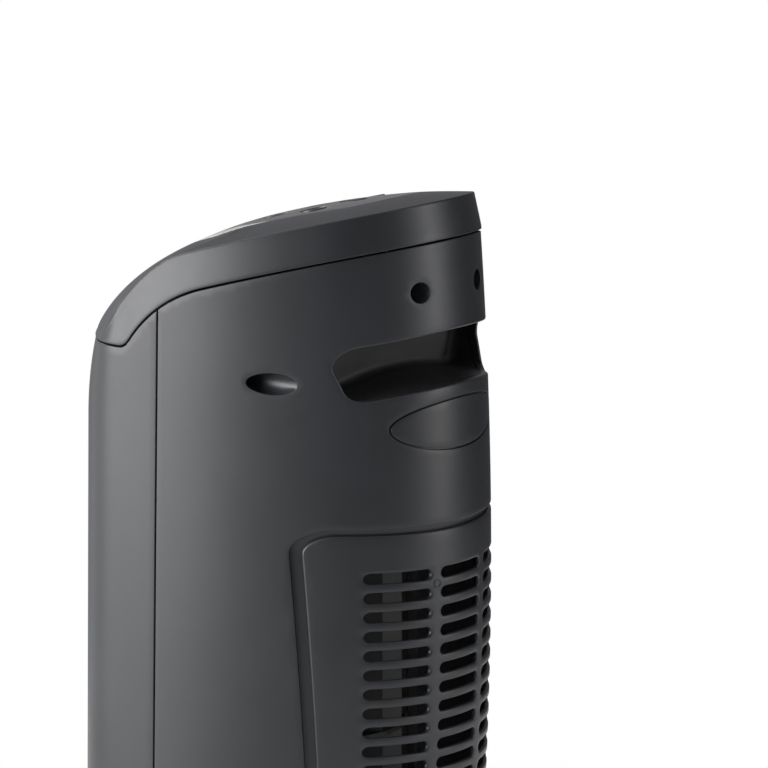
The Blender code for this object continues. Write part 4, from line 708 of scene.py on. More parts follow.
rear = Moulding(skin)
border_first, border_last = rear.edge(rear_border, fillet(SHELL_EDGE, 3))
handle_first, handle_last = rear.edge(on_back(handle_view, HANDLE_EDGE), fillet(HANDLE_EDGE, 5), hole=True)
oval_loop = even(on_back(oval_view), FINE)
oval_profile = [(0.0, OVAL_DEPTH)] + fillet(OVAL_EDGE, 3)
oval_first, oval_last = rear.edge(oval_loop, oval_profile, hole=True)
intake_depth = INTAKE_THICKNESS + GAP
intake_loop = even(on_back(intake_view), COARSE)
intake_profile = [(-LEDGE_CHAMFER, intake_depth), (-LEDGE_CHAMFER / 4, intake_depth - LEDGE_CHAMFER / 4)]
intake_profile += [(0.0, intake_depth - LEDGE_CHAMFER)] + fillet(INTAKE_EDGE, 4)
intake_first, intake_last = rear.edge(intake_loop, intake_profile, hole=True)
ledge_loop = even(on_back(intake_outline(INTAKE_GROOVE + INTAKE_LEDGE)), count=len(intake_loop))
ledge_ring = rear.ring(ledge_loop, intake_depth)
rear.bridge(ledge_ring, intake_first[1])
rear.fill(oval_first, [], FLAT_STEP, OVAL_DEPTH)
print("rear points so far:", rear.count)

# %% Rear shell: screw wells
WELLS = (
    ("upper_screw_right", -0.0190, 0.3731, 0.00435, 0.066),
    ("upper_screw_left", 0.0190, 0.3731, 0.00435, 0.066),
    ("side_screw_right", -0.0607, 0.3362, 0.0045, 0.004),
    ("side_screw_left", 0.0607, 0.3362, 0.0045, 0.004),
)
WELL_WALL, WELL_EDGE, WELL_SPACING = 0.0019, 0.00022, 0.0007
WELL_POINTS, WELL_RINGS = 720, 6

well_edges, well_inner_loops = [], []
for name, x, z, radius, floor in WELLS:
    mouth = even(on_back(circle(x, z, radius, WELL_POINTS), WELL_EDGE), WELL_SPACING)
    first, last = rear.edge(mouth, fillet(WELL_EDGE, 3), hole=True)
    well_edges.append(last)
    rim = np.concatenate(rear.points)[first[1]]
    rings = [first[1]]
    for share in np.linspace(0, 1, WELL_RINGS + 1)[1:]:
        lower = rim.copy()
        lower[:, 1] += (floor + WELL_WALL - rim[:, 1]) * share
        rings.append(rear.add(lower))
    rear.join(rings)
    rear.cap(rings[-1])
    outside = even(on_back(circle(x, z, radius + WELL_WALL, WELL_POINTS), WALL), COARSE)
    inner_ring = rear.ring(outside, WALL)
    under = np.concatenate(rear.points)[inner_ring]
    under[:, 1] = floor
    foot = rear.add(under)
    rear.bridge(inner_ring, foot)
    rear.cap(foot)
    well_inner_loops.append((outside, inner_ring))
    print(name, "mouth at y", np.round(1000 * rim[:, 1].min(), 1), "to", np.round(1000 * rim[:, 1].max(), 1))

# %% Rear shell: fields, walls and inner face
rear.fill(border_last, [handle_last, oval_last, intake_last] + well_edges, FIELD_STEP)
inner_border = rear.lining(border_first, WALL)
handle_inner = rear.lining(handle_first, WALL, on_back(handle_view, WALL))
intake_inner = rear.lining((ledge_loop, ledge_ring), WALL)
rear.fill(inner_border, [handle_inner, intake_inner] + well_inner_loops, INNER_STEP, WALL)
dress_node("rear_shell", rear, charcoal)

# %% [markdown]
# ## Front shell
# The front shell closes the tower from the split line round the front. It is drawn the same way,
# with distances measured from the middle of the front. Its one opening is the rebate of the
# outlet grille.

# %% Front shell
GRILLE_HALF_WIDTH, GRILLE_LOW, GRILLE_HIGH, GRILLE_ROUND = 0.050, 0.086, 0.2973, 0.012
GRILLE_GROOVE, GRILLE_THICKNESS, REBATE_EDGE = 0.0008, 0.0018, 0.00035
FRONT_EDGE = SHELL_SPLIT - SPLIT_GAP / 2

front_top = float(seam(FRONT_EDGE)) - SEAM_GAP / 2
front_border = shell_border(front_skin, lambda z: HALF_ROUND - round_at_y(FRONT_EDGE, z), front_top)
front = Moulding(front_skin)
front_first, front_last = front.edge(front_border, fillet(SHELL_EDGE, 3))


def grille_loop(inset):
    view = trapezium(GRILLE_HALF_WIDTH, GRILLE_HALF_WIDTH, GRILLE_LOW, GRILLE_HIGH, GRILLE_ROUND, inset)
    return even(on_front(view), COARSE)


rebate = GRILLE_THICKNESS + GAP
rebate_profile = [(-INTAKE_LEDGE, rebate), (-GAP, rebate), (0.0, rebate - GAP)] + fillet(REBATE_EDGE, 3)
rebate_first, rebate_last = front.edge(grille_loop(0.0), rebate_profile, hole=True)
front.fill(front_last, [rebate_last], FIELD_STEP)
front_inner = front.lining(front_first, WALL)
front.fill(front_inner, [front.lining(rebate_first, WALL)], INNER_STEP, WALL)
dress_node("front_shell", front, charcoal)

# %% [markdown]
# ## Trees that copy a shape
# Slots, screws and feet repeat, so Geometry Nodes lays them. One tree sets tiles in a row and welds
# them where they touch. Another sets a copy on each point of a mesh. Both end in plain faces,
# because an instance has no mesh of its own to export.

# %% Small helpers for Geometry Nodes
def new_tree(name, inputs):
    """A tree with named inputs. Gives the tree, its input node and its output node."""
    tree = bpy.data.node_groups.new(name, "GeometryNodeTree")
    for label, kind in inputs:
        tree.interface.new_socket(label, in_out="INPUT", socket_type=kind)
    tree.interface.new_socket("Mesh", in_out="OUTPUT", socket_type="NodeSocketGeometry")
    return tree, tree.nodes.new("NodeGroupInput"), tree.nodes.new("NodeGroupOutput")


def lay(tree, kind, inputs, settings=None):
    """Adds one node. Each input is a value or another node's output."""
    node = tree.nodes.new(kind)
    for name, value in (settings or {}).items():
        setattr(node, name, value)
    for name, value in inputs.items():
        if isinstance(value, bpy.types.NodeSocket):
            tree.links.new(value, node.inputs[name])
        else:
            node.inputs[name].default_value = value
    return node


def grow(tree, base, values):
    """Runs a tree on a mesh and gives the result as a plain mesh."""
    carrier = bpy.data.objects.new(tree.name, base)
    scene.collection.objects.link(carrier)
    modifier = carrier.modifiers.new("tree", "NODES")
    modifier.node_group = tree
    for item in tree.interface.items_tree:
        if item.in_out == "INPUT" and item.name in values:
            modifier[item.identifier] = values[item.name]
    graph = bpy.context.evaluated_depsgraph_get()
    made = bpy.data.meshes.new_from_object(carrier.evaluated_get(graph))
    carrier.modifiers.remove(modifier)
    bpy.data.objects.remove(carrier, do_unlink=True)
    return made


def copies_on(tree, points, shape):
    """A real copy of a shape on each point."""
    copies = lay(tree, "GeometryNodeInstanceOnPoints", {"Points": points, "Instance": shape})
    return lay(tree, "GeometryNodeRealizeInstances", {"Geometry": copies.outputs[0]})


def finished(tree, last, start, end):
    """Gives the last node's mesh the tree's material and leads it out."""
    inputs = {"Geometry": last.outputs[0], "Material": start.outputs["Finish"]}
    dressed = lay(tree, "GeometryNodeSetMaterial", inputs)
    tree.links.new(dressed.outputs[0], end.inputs[0])
    return tree


def row_tree():
    inputs = (
        ("Tile", "NodeSocketGeometry"),
        ("Rows", "NodeSocketInt"),
        ("Pitch", "NodeSocketFloat"),
        ("Weld", "NodeSocketFloat"),
        ("Finish", "NodeSocketMaterial"),
    )
    tree, start, end = new_tree("tiles in a row", inputs)
    step = lay(tree, "ShaderNodeCombineXYZ", {"Y": start.outputs["Pitch"]})
    line_inputs = {"Count": start.outputs["Rows"], "Offset": step.outputs[0]}
    line = lay(tree, "GeometryNodeMeshLine", line_inputs, {"mode": "OFFSET"})
    real = copies_on(tree, line.outputs[0], start.outputs["Tile"])
    weld_inputs = {"Geometry": real.outputs[0], "Distance": start.outputs["Weld"]}
    welded = lay(tree, "GeometryNodeMergeByDistance", weld_inputs)
    return finished(tree, welded, start, end)


def spot_tree():
    inputs = (
        ("Spots", "NodeSocketGeometry"),
        ("Shape", "NodeSocketObject"),
        ("Finish", "NodeSocketMaterial"),
    )
    tree, start, end = new_tree("a copy on each spot", inputs)
    shape = lay(tree, "GeometryNodeObjectInfo", {"Object": start.outputs["Shape"]})
    real = copies_on(tree, start.outputs["Spots"], shape.outputs["Geometry"])
    return finished(tree, real, start, end)


ROWS = row_tree()
SPOTS = spot_tree()
print("trees:", [tree.name for tree in (ROWS, SPOTS)])

# %% [markdown]
# ## Air inlet
# The inlet panel is a moulding of its own that drops into the shell's rebate, with a groove all
# round it. A broad fillet runs round its edge and catches the light, and each slot has a softened
# mouth. One tile holds one slot in its rectangle of panel. The tree repeats the tile downwards,
# the block of tiles is laid on the skin, and a plain margin is filled in round it.

# %% One slot in its tile
SLOT_TOP, SLOT_PITCH, SLOT_ROWS, SLOT_HEIGHT = 0.2553, 0.0082, 14, 0.0046
SLOT_MIDDLE_HALF, SLOT_RIB, SLOT_SIDE_LENGTH = 0.0126, 0.0047, 0.0249
SLOT_EDGE, TILE_WELD = 0.00065, 1e-7
TILE_SPACING = 0.0013
TILE_SIDE_STEPS = 5


def slot_loop(low, high, half, spacing, radius, steps=7):
    """A slot round height 0, anticlockwise, with its corners rounded by a radius."""
    run = np.linspace(low + radius, high - radius, max(2, int((high - low) / spacing)))
    loop = [np.stack([run, np.full(len(run), -half)], 1)]
    for x, start in ((high - radius, -90), (high - radius, 0), (low + radius, 90), (low + radius, 180)):
        rise = half - radius if 0 <= start < 180 else radius - half
        turns = np.radians(np.linspace(start, start + 90, steps + 1))
        loop.append(np.stack([x + radius * np.cos(turns), rise + radius * np.sin(turns)], 1))
        if start == 0:
            loop.append(np.stack([run[::-1], np.full(len(run), half)], 1))
    points = np.concatenate(loop)
    apart = np.linalg.norm(points - np.roll(points, 1, 0), axis=1)
    return points[apart > TILE_WELD]


def rectangle(across, up):
    """The border of a rectangle, anticlockwise, through the places along its lower and side edges."""
    return np.concatenate([
        np.stack([across[:-1], np.full(len(across) - 1, up[0])], 1),
        np.stack([np.full(len(up) - 1, across[-1]), up[:-1]], 1),
        np.stack([across[:0:-1], np.full(len(across) - 1, up[-1])], 1),
        np.stack([np.full(len(up) - 1, across[0]), up[:0:-1]], 1),
    ])


def tile_places(low, high):
    """Places along a tile's lower edge, which its neighbours share."""
    return np.linspace(low, high, int(round((high - low) / TILE_SPACING)) + 1)


def slot_tile(border, slot, edge, thickness):
    """Both faces of a tile and the wall of its slot. Its sides stay open, to be welded."""
    tile = Moulding(lambda u, v, depth: np.stack([u, v, np.full(len(u), depth)], 1))
    first, last = tile.edge(slot, [(0.0, thickness)] + fillet(edge, 3), hole=True)
    coarse = 10 * TILE_SPACING
    tile.fill((border, tile.ring(border, 0.0)), [last], coarse)
    tile.fill((border, tile.ring(border, thickness)), [first], coarse, thickness)
    return tile.mesh("slot_tile", weld=TILE_WELD)


slot_outer = SLOT_MIDDLE_HALF + SLOT_RIB + SLOT_SIDE_LENGTH
rib_middle = SLOT_MIDDLE_HALF + SLOT_RIB / 2
block_half = slot_outer + SLOT_RIB / 2
SLOT_COLUMNS = (
    (-block_half, -rib_middle, -slot_outer, -SLOT_MIDDLE_HALF - SLOT_RIB),
    (-rib_middle, rib_middle, -SLOT_MIDDLE_HALF, SLOT_MIDDLE_HALF),
    (rib_middle, block_half, SLOT_MIDDLE_HALF + SLOT_RIB, slot_outer),
)
print("block of slots is", round(2000 * block_half, 1), "mm wide seen from the back")

# %% Rows of tiles, laid on the skin
WELD, INLET_EDGE = 2e-6, 0.0011


def tiled_sheet(place, on_view, loop, rounding, thickness, finish, columns, top, pitch, rows, slot_of_tile):
    """A sheet with rows of slotted tiles and a plain margin round them. rounding is (radius, steps)."""
    sheet = Moulding(place)
    low_edge, high_edge = sheet.edge(loop, [(0.0, thickness)] + fillet(*rounding))
    edges = []
    for low, high, slot_low, slot_high in columns:
        edges.append(tile_places(low, high))
        border = rectangle(edges[-1], np.linspace(-pitch / 2, pitch / 2, TILE_SIDE_STEPS + 1))
        tile = slot_tile(border, *slot_of_tile(slot_low, slot_high), thickness)
        block = grow(ROWS, tile, {"Rows": rows, "Pitch": -pitch, "Weld": WELD, "Finish": finish})
        points = np.array([vert.co for vert in block.vertices])
        for depth in np.unique(points[:, 2]):
            chosen = points[:, 2] == depth
            flat = on_view(np.stack([points[chosen, 0], top + points[chosen, 1]], 1), depth)
            points[chosen] = place(flat[:, 0], flat[:, 1], depth)
        numbers = sheet.add(points)
        sheet.faces += [tuple(numbers[corner] for corner in face.vertices) for face in block.polygons]
    across = np.concatenate([edge[:-1] for edge in edges] + [edges[-1][-1:]])
    around = rectangle(across, top + pitch / 2 - pitch * np.linspace(rows, 0, rows * TILE_SIDE_STEPS + 1))
    for border, depth in ((high_edge, 0.0), (low_edge, thickness)):
        flat = on_view(around, depth)
        sheet.fill(border, [(flat, sheet.ring(flat, depth))], FLAT_STEP, depth)
    return sheet


def inlet_slot(low, high):
    return slot_loop(low, high, SLOT_HEIGHT / 2, TILE_SPACING, SLOT_HEIGHT / 2), SLOT_EDGE


inlet = tiled_sheet(
    skin, on_back, even(on_back(intake_outline(INTAKE_GROOVE)), TILE_SPACING), (INLET_EDGE, 6),
    INTAKE_THICKNESS, charcoal, SLOT_COLUMNS, SLOT_TOP, SLOT_PITCH, SLOT_ROWS, inlet_slot,
)

# %% Gate mark on the inlet panel
GATE_X, GATE_Z, GATE_RADIUS, GATE_STEPS, PROBE_DEPTH = 0.0149, 0.2510, 0.0019, 32, 0.01
GATE_PROFILE = (
    (1.0, -0.3), (1.0, 0.04), (0.95, 0.1), (0.86, 0.12), (0.76, 0.06), (0.62, -0.03), (0.3, -0.06)
)


def turned(profile, steps):
    """Points and faces of a profile of (radius, height), turned about Z and closed on the axis."""
    turns = np.linspace(0, 2 * math.pi, steps, endpoint=False)
    rings = [np.stack([r * np.cos(turns), r * np.sin(turns), np.full(steps, h)], 1) for r, h in profile]
    points = np.concatenate(rings + [[(0.0, 0.0, profile[0][1]), (0.0, 0.0, profile[-1][1])]])
    faces = []
    for ring in range(len(profile) - 1):
        for index in range(steps):
            after = (index + 1) % steps
            low, high = ring * steps, (ring + 1) * steps
            faces.append((low + index, low + after, high + after, high + index))
    count = len(profile) * steps
    for index in range(steps):
        after = (index + 1) % steps
        faces.append((after, index, count))
        faces.append((count - steps + index, count - steps + after, count + 1))
    return points, faces


def square_on(point, outward):
    """A matrix whose Z looks outward from a point."""
    return Matrix.Translation(point) @ Vector(outward).to_track_quat("Z", "Y").to_matrix().to_4x4()


def add_turned(sheet, profile, steps, matrix):
    points, faces = turned(profile, steps)
    numbers = sheet.add([matrix @ Vector(point) for point in points])
    sheet.faces += [tuple(numbers[corner] for corner in face) for face in faces]


gate_flat = on_back([(GATE_X, GATE_Z)])[0]
gate_at = skin(gate_flat[:1], gate_flat[1])[0]
gate_under = skin(gate_flat[:1], gate_flat[1], PROBE_DEPTH)[0]
gate_profile = [(GATE_RADIUS * radius, GATE_RADIUS * height) for radius, height in GATE_PROFILE]
add_turned(inlet, gate_profile, GATE_STEPS, square_on(gate_at, gate_at - gate_under))
dress_node("intake_panel", inlet, charcoal, weld=WELD)

# %% [markdown]
# ## Oval plate and handle pocket
# Under the handle an oval cover plate sits flush in its rebate, where a badge would go, and is left
# bare. The handle opening is backed by a deep black cup that takes the fingers. Its mouth follows
# the shell from behind and its floor is flat, with a rounded corner all round.

# %% Oval plate
OVAL_THICKNESS, PLATE_ROUND, PLATE_STEPS = 0.0010, (0.00028, 3), (0.0024, 0.004)
oval = Moulding(skin)
oval.plate(even(on_back(oval_outline(0.0)), FINE), OVAL_THICKNESS, PLATE_ROUND, PLATE_STEPS)
dress_node("oval_plate", oval, charcoal)


# %% Handle pocket
def black_plastic(name, colour, roughness):
    finish = Finish(name)
    fine = finish.noise(0.0006, 3.0)
    patch = finish.noise(0.008, 2.0)
    lighter = tuple(1.35 * value for value in colour)
    return finish.shade(
        **finish.mottle(patch, 0.35, 0.7, colour, lighter),
        Roughness=roughness - 0.05 + 0.1 * patch,
        Normal=finish.bump(fine, 0.00002),
    )


black = black_plastic("black_plastic_fine", (0.012, 0.012, 0.013), 0.5)
POCKET_WALL, POCKET_FLOOR, POCKET_ROUND, POCKET_STEP = 0.002, 0.044, (0.0035, 6), 0.004
behind = WALL + GAP
pocket = Moulding(lambda u, v, y: np.stack([u, np.full(len(u), y), v], 1))
wall_view = offset_loop(handle_view, -POCKET_WALL)
mouth = pocket.add(skin(*on_back(handle_view, behind).T, behind))
outer_mouth = pocket.add(skin(*on_back(wall_view, behind).T, behind))
outer_foot = pocket.ring(wall_view, POCKET_FLOOR - POCKET_WALL)
floor_views = [offset_loop(handle_view, distance) for distance, _ in fillet(*POCKET_ROUND)]
floor_heights = [POCKET_FLOOR + height for _, height in fillet(*POCKET_ROUND)]
floor_rings = [pocket.ring(view, height) for view, height in zip(floor_views, floor_heights)]
pocket.join([mouth, outer_mouth, outer_foot])
pocket.join([mouth] + floor_rings)
pocket.fill((wall_view, outer_foot), [], INNER_STEP, POCKET_FLOOR - POCKET_WALL)
pocket.fill((floor_views[-1], floor_rings[-1]), [], POCKET_STEP, POCKET_FLOOR)
dress_node("handle_pocket", pocket, black)

# %% [markdown]
# ## Screws
# Four pan-head screws hold the cap and the shells. They sit deep in their wells, so only a head
# with its cross shows. One screw is modelled, and the spot tree sets it on the four seats.

# %% Screws
def plated_steel(name, colour, roughness):
    finish = Finish(name)
    brushed = finish.noise(1.0, 4.0, finish.place((0.0004, 0.0004, 0.004)))
    patch = finish.noise(0.006, 2.0)
    darker = tuple(0.8 * value for value in colour)
    return finish.shade(
        **finish.mottle(patch, 0.3, 0.75, colour, darker, metallic=1.0),
        Roughness=roughness - 0.06 + 0.16 * brushed,
        Normal=finish.bump(brushed, 0.000012),
    )


steel = plated_steel("plated_steel", (0.42, 0.42, 0.43), 0.34)
SCREW_SHANK, SCREW_HEAD, SCREW_HEAD_HEIGHT, SCREW_LENGTH = 0.0015, 0.0034, 0.0024, 0.011
SCREW_POINT, THREAD_PITCH, THREAD_FLANK, THREAD_TURNS, THREAD_ROOT = 0.001, 0.00065, 0.0002, 14, 0.86
HEAD_FOOT, HEAD_WALL, DOME_LOW, DOME_POWER, DOME_WIDTH = 0.97, 0.55, 0.62, 2.6, 0.985
POINT_SHARE, HEAD_EDGE, CROSS_ABOVE = 0.4, 0.0001, 0.6
CROSS_HALF, CROSS_REACH, CROSS_DEPTH = 0.00048, 0.0019, 0.0013


def cross_depth(x, y):
    """How deep the driver's cross is at a place on the head."""
    deepest = 0.0
    for along, aside in ((abs(x), abs(y)), (abs(y), abs(x))):
        if aside < CROSS_HALF:
            deepest = max(deepest, CROSS_DEPTH * max(0.0, 1 - along / CROSS_REACH) ** 0.5)
    return deepest


def screw_mesh(steps=48, rings=14):
    head = SCREW_HEAD_HEIGHT
    point_end = SCREW_POINT - SCREW_LENGTH
    profile = [(SCREW_SHANK * POINT_SHARE, -SCREW_LENGTH), (SCREW_SHANK, point_end)]
    for turn in range(1, THREAD_TURNS + 1):
        height = point_end + THREAD_PITCH * turn
        profile += [(SCREW_SHANK * THREAD_ROOT, height - THREAD_FLANK), (SCREW_SHANK, height)]
    profile += [(SCREW_SHANK, 0.0), (SCREW_HEAD * HEAD_FOOT, 0.0)]
    profile += [(SCREW_HEAD, HEAD_EDGE), (SCREW_HEAD, head * HEAD_WALL)]
    for ring in range(rings):
        share = 1 - ring / rings
        dome = head * (DOME_LOW + (1 - DOME_LOW) * math.sqrt(max(0.0, 1 - share ** DOME_POWER)))
        profile.append((SCREW_HEAD * DOME_WIDTH * share, dome))
    points, faces = turned(profile, steps)
    for point in points:
        if point[2] > head * CROSS_ABOVE:
            point[2] -= cross_depth(point[0], point[1])
    made = bpy.data.meshes.new("screw")
    stood = [(x, z, -y) for x, y, z in points]
    made.from_pydata(stood, [], faces)
    return made


screw = bpy.data.objects.new("screw", screw_mesh())
seats = bpy.data.meshes.new("screw_seats")
seats.from_pydata([(x, floor + WELL_WALL + GAP, z) for _, x, z, _, floor in WELLS], [], [])
screws_mesh = grow(SPOTS, seats, {"Shape": screw, "Finish": steel})
bpy.data.objects.remove(screw, do_unlink=True)
dress("screws", screws_mesh, steel, [name for name, _, _, _, _ in WELLS])
print("screws:", len(screws_mesh.polygons), "faces")

# %% [markdown]
# ## The cap
# The cap starts as a wall that keeps the tower's plan and leans in a little. It ends in a tight
# ridge that catches the light. The ridge runs level with the sloped top round the back and the
# sides, then falls towards the front. From there a sheet carries on to the opening: a crowned top
# at the back, while in front it starts upright and rolls over, which makes the hood. Each ring of
# the sheet is a curve's place between the two edges, because a loft of few sections dented there.
# The crown is a rule too: a share of the way out from its middle gives any line on it. The opening
# is such a line, and draws in round the front, where it leaves room for a crescent of trim.

# %% Ridge and crowned top
CAP_OVERHANG, CAP_DRAFT, RIDGE_ROUND = 0.0004, 0.0020, 0.0012
CROWN, CROWN_CENTRE, RIDGE_DROP = 0.0081, -0.0125, 0.0001
SHOULDER, SHOULDER_FALL, SHOULDER_BLEND, FRONT_BAND = -0.0043, 14.0, 0.0012, 0.0030
OPENING_SHARE, PANEL_NARROWING, PANEL_TURN = 0.705, 0.229, (41, 115)
TRIM_SHARE, TRIM_TURN, TRIM_TIP = 0.206, (70, 150), 2
PANEL_THICKNESS, LEDGE_SHARE, LEDGE_THICKNESS = 0.0020, 0.06, 0.0018
GAP_SHARE = GAP / TOWER_HALF_WIDTH
CAP_COLUMNS, CAP_HEIGHTS = 360, (0.30, 0.47)

columns = np.linspace(-HALF_ROUND, HALF_ROUND, CAP_COLUMNS, endpoint=False)
normals = np.degrees(np.arccos(np.clip(np.interp(abs(columns), ROUND, OUT_Y), -1, 1)))
column_x, column_y = (np.interp(abs(columns), ROUND, shares) for shares in (X_SHARE, Y_SHARE))
lip_depth = WALL - CAP_OVERHANG
lip_z = seam_height(skin, columns, SEAM_GAP / 2, -CAP_OVERHANG)


def wall_line(z):
    """How far back the tower's own wall lies under each column."""
    return WIDEST + column_y * reach_to(column_y, z)


def crown_plan(z):
    """Plan of the crown's ring at a height. Its front is the tower's own, moved back."""
    lean = hood_lean(z) * np.minimum(1 - column_y, 1.0) ** LEAN_POWER
    drafted = half_width(z) - CAP_DRAFT + CAP_OVERHANG
    return np.stack([np.sign(columns) * column_x * drafted, wall_line(z) + lean], -1)


def met_height(line):
    """Height at which each column meets a line of heights."""
    return settle(np.zeros(CAP_COLUMNS), lambda z: z - line(z), *CAP_HEIGHTS)


crown_z = met_height(lambda z: top_line(crown_plan(z)[:, 1]))
RIM = crown_plan(crown_z)
CROWN_MIDDLE = np.array([0.0, CROWN_CENTRE])
bearings = np.arctan2(RIM[:, 0], RIM[:, 1] - CROWN_CENTRE)
reaches = np.hypot(RIM[:, 0], RIM[:, 1] - CROWN_CENTRE)
order = np.argsort(bearings)


def ridge_line(z):
    """Height of the ridge over the tower's wall. It falls in front of the hood's shoulder."""
    y = wall_line(z) - (CAP_DRAFT - CAP_OVERHANG) * np.interp(abs(columns), ROUND, OUT_Y)
    fall = top_line(y) - RIDGE_DROP - SHOULDER_FALL * np.maximum(SHOULDER - y, 0) ** 2
    low = lip_z + FRONT_BAND
    return (fall + low + np.hypot(fall - low, SHOULDER_BLEND)) / 2


ridge_z = met_height(ridge_line)
drafts = CAP_DRAFT * np.clip((ridge_z - lip_z) / BAND_HEIGHT, 0, 1)
RIDGE = skin(columns, ridge_z, drafts - CAP_OVERHANG)


def top_place(x, y, depth=0.0):
    """Lays a flat plan on the crowned top."""
    reach = np.interp(np.arctan2(x, y - CROWN_CENTRE), bearings[order], reaches[order], period=2 * math.pi)
    share = np.hypot(x, y - CROWN_CENTRE) / reach
    return np.stack([x, y, top_line(y) + CROWN * (1 - share * share) - depth], -1)


def plan_loop(share):
    """The plan of a ring at a share of the way out to the crown's rim."""
    return CROWN_MIDDLE + (RIM - CROWN_MIDDLE) * np.broadcast_to(share, CAP_COLUMNS)[:, None]


def turned_share(turn):
    """Rises from 0 to 1 while the outline's normal turns from one angle to the other."""
    return np.sin(np.clip((normals - turn[0]) / (turn[1] - turn[0]), 0, 1) * math.pi / 2)


panel_share = OPENING_SHARE - PANEL_NARROWING * turned_share(PANEL_TURN)
opening_share = panel_share + TRIM_SHARE * turned_share(TRIM_TURN)
print("ridge from", np.round(1000 * ridge_z.min(), 1), "to", np.round(1000 * ridge_z.max(), 1), "mm high")

# %% Cap
LIP_EDGE, OPENING_EDGE, EDGE_STEPS = 0.0004, 0.0005, 4
DRAFT_EASE = 0.15
BAND_RINGS, BEND_RINGS, TOP_RINGS, BEND_SHARE = 12, 8, 24, 0.03
UPRIGHT_FROM, UPRIGHT_TO = 0.004, -0.058
FULLNESS, STEEPEST = 1.02, 0.9
OUTER_STEP, INNER_STEP_SHARE = 0.02, 0.01
UNDER_SHARE = 0.80
INNER_WALL = ((0.6, drafts + WALL), (0.15, lip_depth))


def unit(vectors):
    return vectors / np.linalg.norm(vectors, axis=1)[:, None]


def sheet(shares):
    """Rings of the top, from the ridge to the opening. In front they start upright and roll over."""
    rim_share = opening_share + OPENING_EDGE / TOWER_HALF_WIDTH
    end = top_place(*plan_loop(rim_share).T)
    inwards = unit(top_place(*plan_loop(rim_share - INNER_STEP_SHARE).T) - end)
    level = unit(top_place(*plan_loop(1 - OUTER_STEP).T) - top_place(*plan_loop(1.0).T))
    upright = np.clip((UPRIGHT_FROM - wall_line(ridge_z)) / (UPRIGHT_FROM - UPRIGHT_TO), 0, 1)
    upright = (upright * upright * (3 - 2 * upright))[:, None]
    risen = (ridge_z - HOOD_START) / HOOD_RADIUS
    slope = risen / np.sqrt(1 - np.minimum(risen, STEEPEST) ** 2)
    rolled = unit(np.stack([np.zeros(CAP_COLUMNS), slope, np.ones(CAP_COLUMNS)], 1))
    start = unit(level * (1 - upright) + rolled * upright)
    span = np.linalg.norm(end - RIDGE, axis=1)[:, None] * FULLNESS
    for u in shares:
        away = 2 * u ** 3 - 3 * u ** 2 + 1
        leaving, arriving = u ** 3 - 2 * u ** 2 + u, u ** 3 - u ** 2
        yield away * RIDGE + leaving * span * start + (1 - away) * end + arriving * span * inwards


cap = Moulding(top_place)
rings = [cap.add(skin(columns, seam_height(skin, columns, SEAM_GAP / 2, lip_depth), lip_depth))]
for inward, up in reversed(fillet(LIP_EDGE, EDGE_STEPS)):
    rings.append(cap.add(skin(columns, lip_z + up, inward - CAP_OVERHANG)))
wall_top = ridge_z - RIDGE_ROUND
for share in np.linspace(0, 1, BAND_RINGS + 1)[1:]:
    z = lip_z + LIP_EDGE + (wall_top - lip_z - LIP_EDGE) * share
    eased = share - DRAFT_EASE / 2 if share >= DRAFT_EASE else share * share / (2 * DRAFT_EASE)
    wall = skin(columns, z, drafts * eased / (1 - DRAFT_EASE / 2) - CAP_OVERHANG)
    rings.append(cap.add(wall))
sheet_start = next(sheet([BEND_SHARE]))
for share in np.linspace(0, 1, BEND_RINGS + 1)[1:]:
    bend = (1 - share) ** 2 * wall + 2 * share * (1 - share) * RIDGE + share ** 2 * sheet_start
    rings.append(cap.add(bend))
rings += [cap.add(ring) for ring in sheet(np.linspace(BEND_SHARE, 1, TOP_RINGS + 1)[1:])]
for inward, depth in reversed(fillet(OPENING_EDGE, EDGE_STEPS)[:-1]):
    rings.append(cap.ring(plan_loop(opening_share + inward / TOWER_HALF_WIDTH), depth))
under_floor = PANEL_THICKNESS + GAP
under = under_floor + LEDGE_THICKNESS
ledge_share = panel_share - LEDGE_SHARE
ledge = ((opening_share, under_floor), (ledge_share, under_floor), (ledge_share, under), (UNDER_SHARE, under))
rings += [cap.ring(plan_loop(share), depth) for share, depth in ledge]
for height, depth in INNER_WALL:
    rings.append(cap.add(skin(columns, lip_z + (ridge_z - lip_z) * height, depth)))
cap.join(rings, closed=True)
dress_node("top_cap", cap, charcoal, sharp=50)

# %% [markdown]
# ## Controls
# The control panel is a plate of glossy grey that lies flush in the cap's opening. It has a lens
# over the display and six round holes. The buttons in them lie level with the panel, and each is
# dished for a fingertip. A button rides on a body of its own, so a pose presses it straight in.

# %% Control panel
CONTROL_CENTRE, CONTROL_REACH, BUTTON_ASIDE = 0.008, 0.019, 0.0190
BUTTON_RADIUS, BUTTON_DISH, BUTTON_GAP = 0.0056, 0.0004, 0.00035
BUTTONS = {
    "power": (0.0, CONTROL_CENTRE),
    "mode": (-BUTTON_ASIDE, CONTROL_CENTRE - 0.0055),
    "timer": (BUTTON_ASIDE, CONTROL_CENTRE - 0.0055),
    "swing": (0.0, CONTROL_CENTRE + 0.020),
    "cooler": (-BUTTON_ASIDE, CONTROL_CENTRE + 0.0145),
    "warmer": (BUTTON_ASIDE, CONTROL_CENTRE + 0.0145),
}
DISPLAY_HALF_WIDTH, DISPLAY_FRONT, DISPLAY_BACK, DISPLAY_ROUND = 0.0165, -0.0235, -0.0055, 0.003
PANEL_SPACING, DISPLAY_SPACING = 0.0012, 0.0008
PANEL_EDGE, HOLE_EDGE, DISPLAY_EDGE = (0.0005, 4), (0.0003, 3), (0.0002, 2)
PANEL_POSTS = ((-0.0245, -0.0065), (0.0245, -0.0065), (-0.011, 0.038), (0.011, 0.038))
POST_PROFILE, POST_STEPS = ((0.0022, -0.0125), (0.0022, -0.0010)), 16
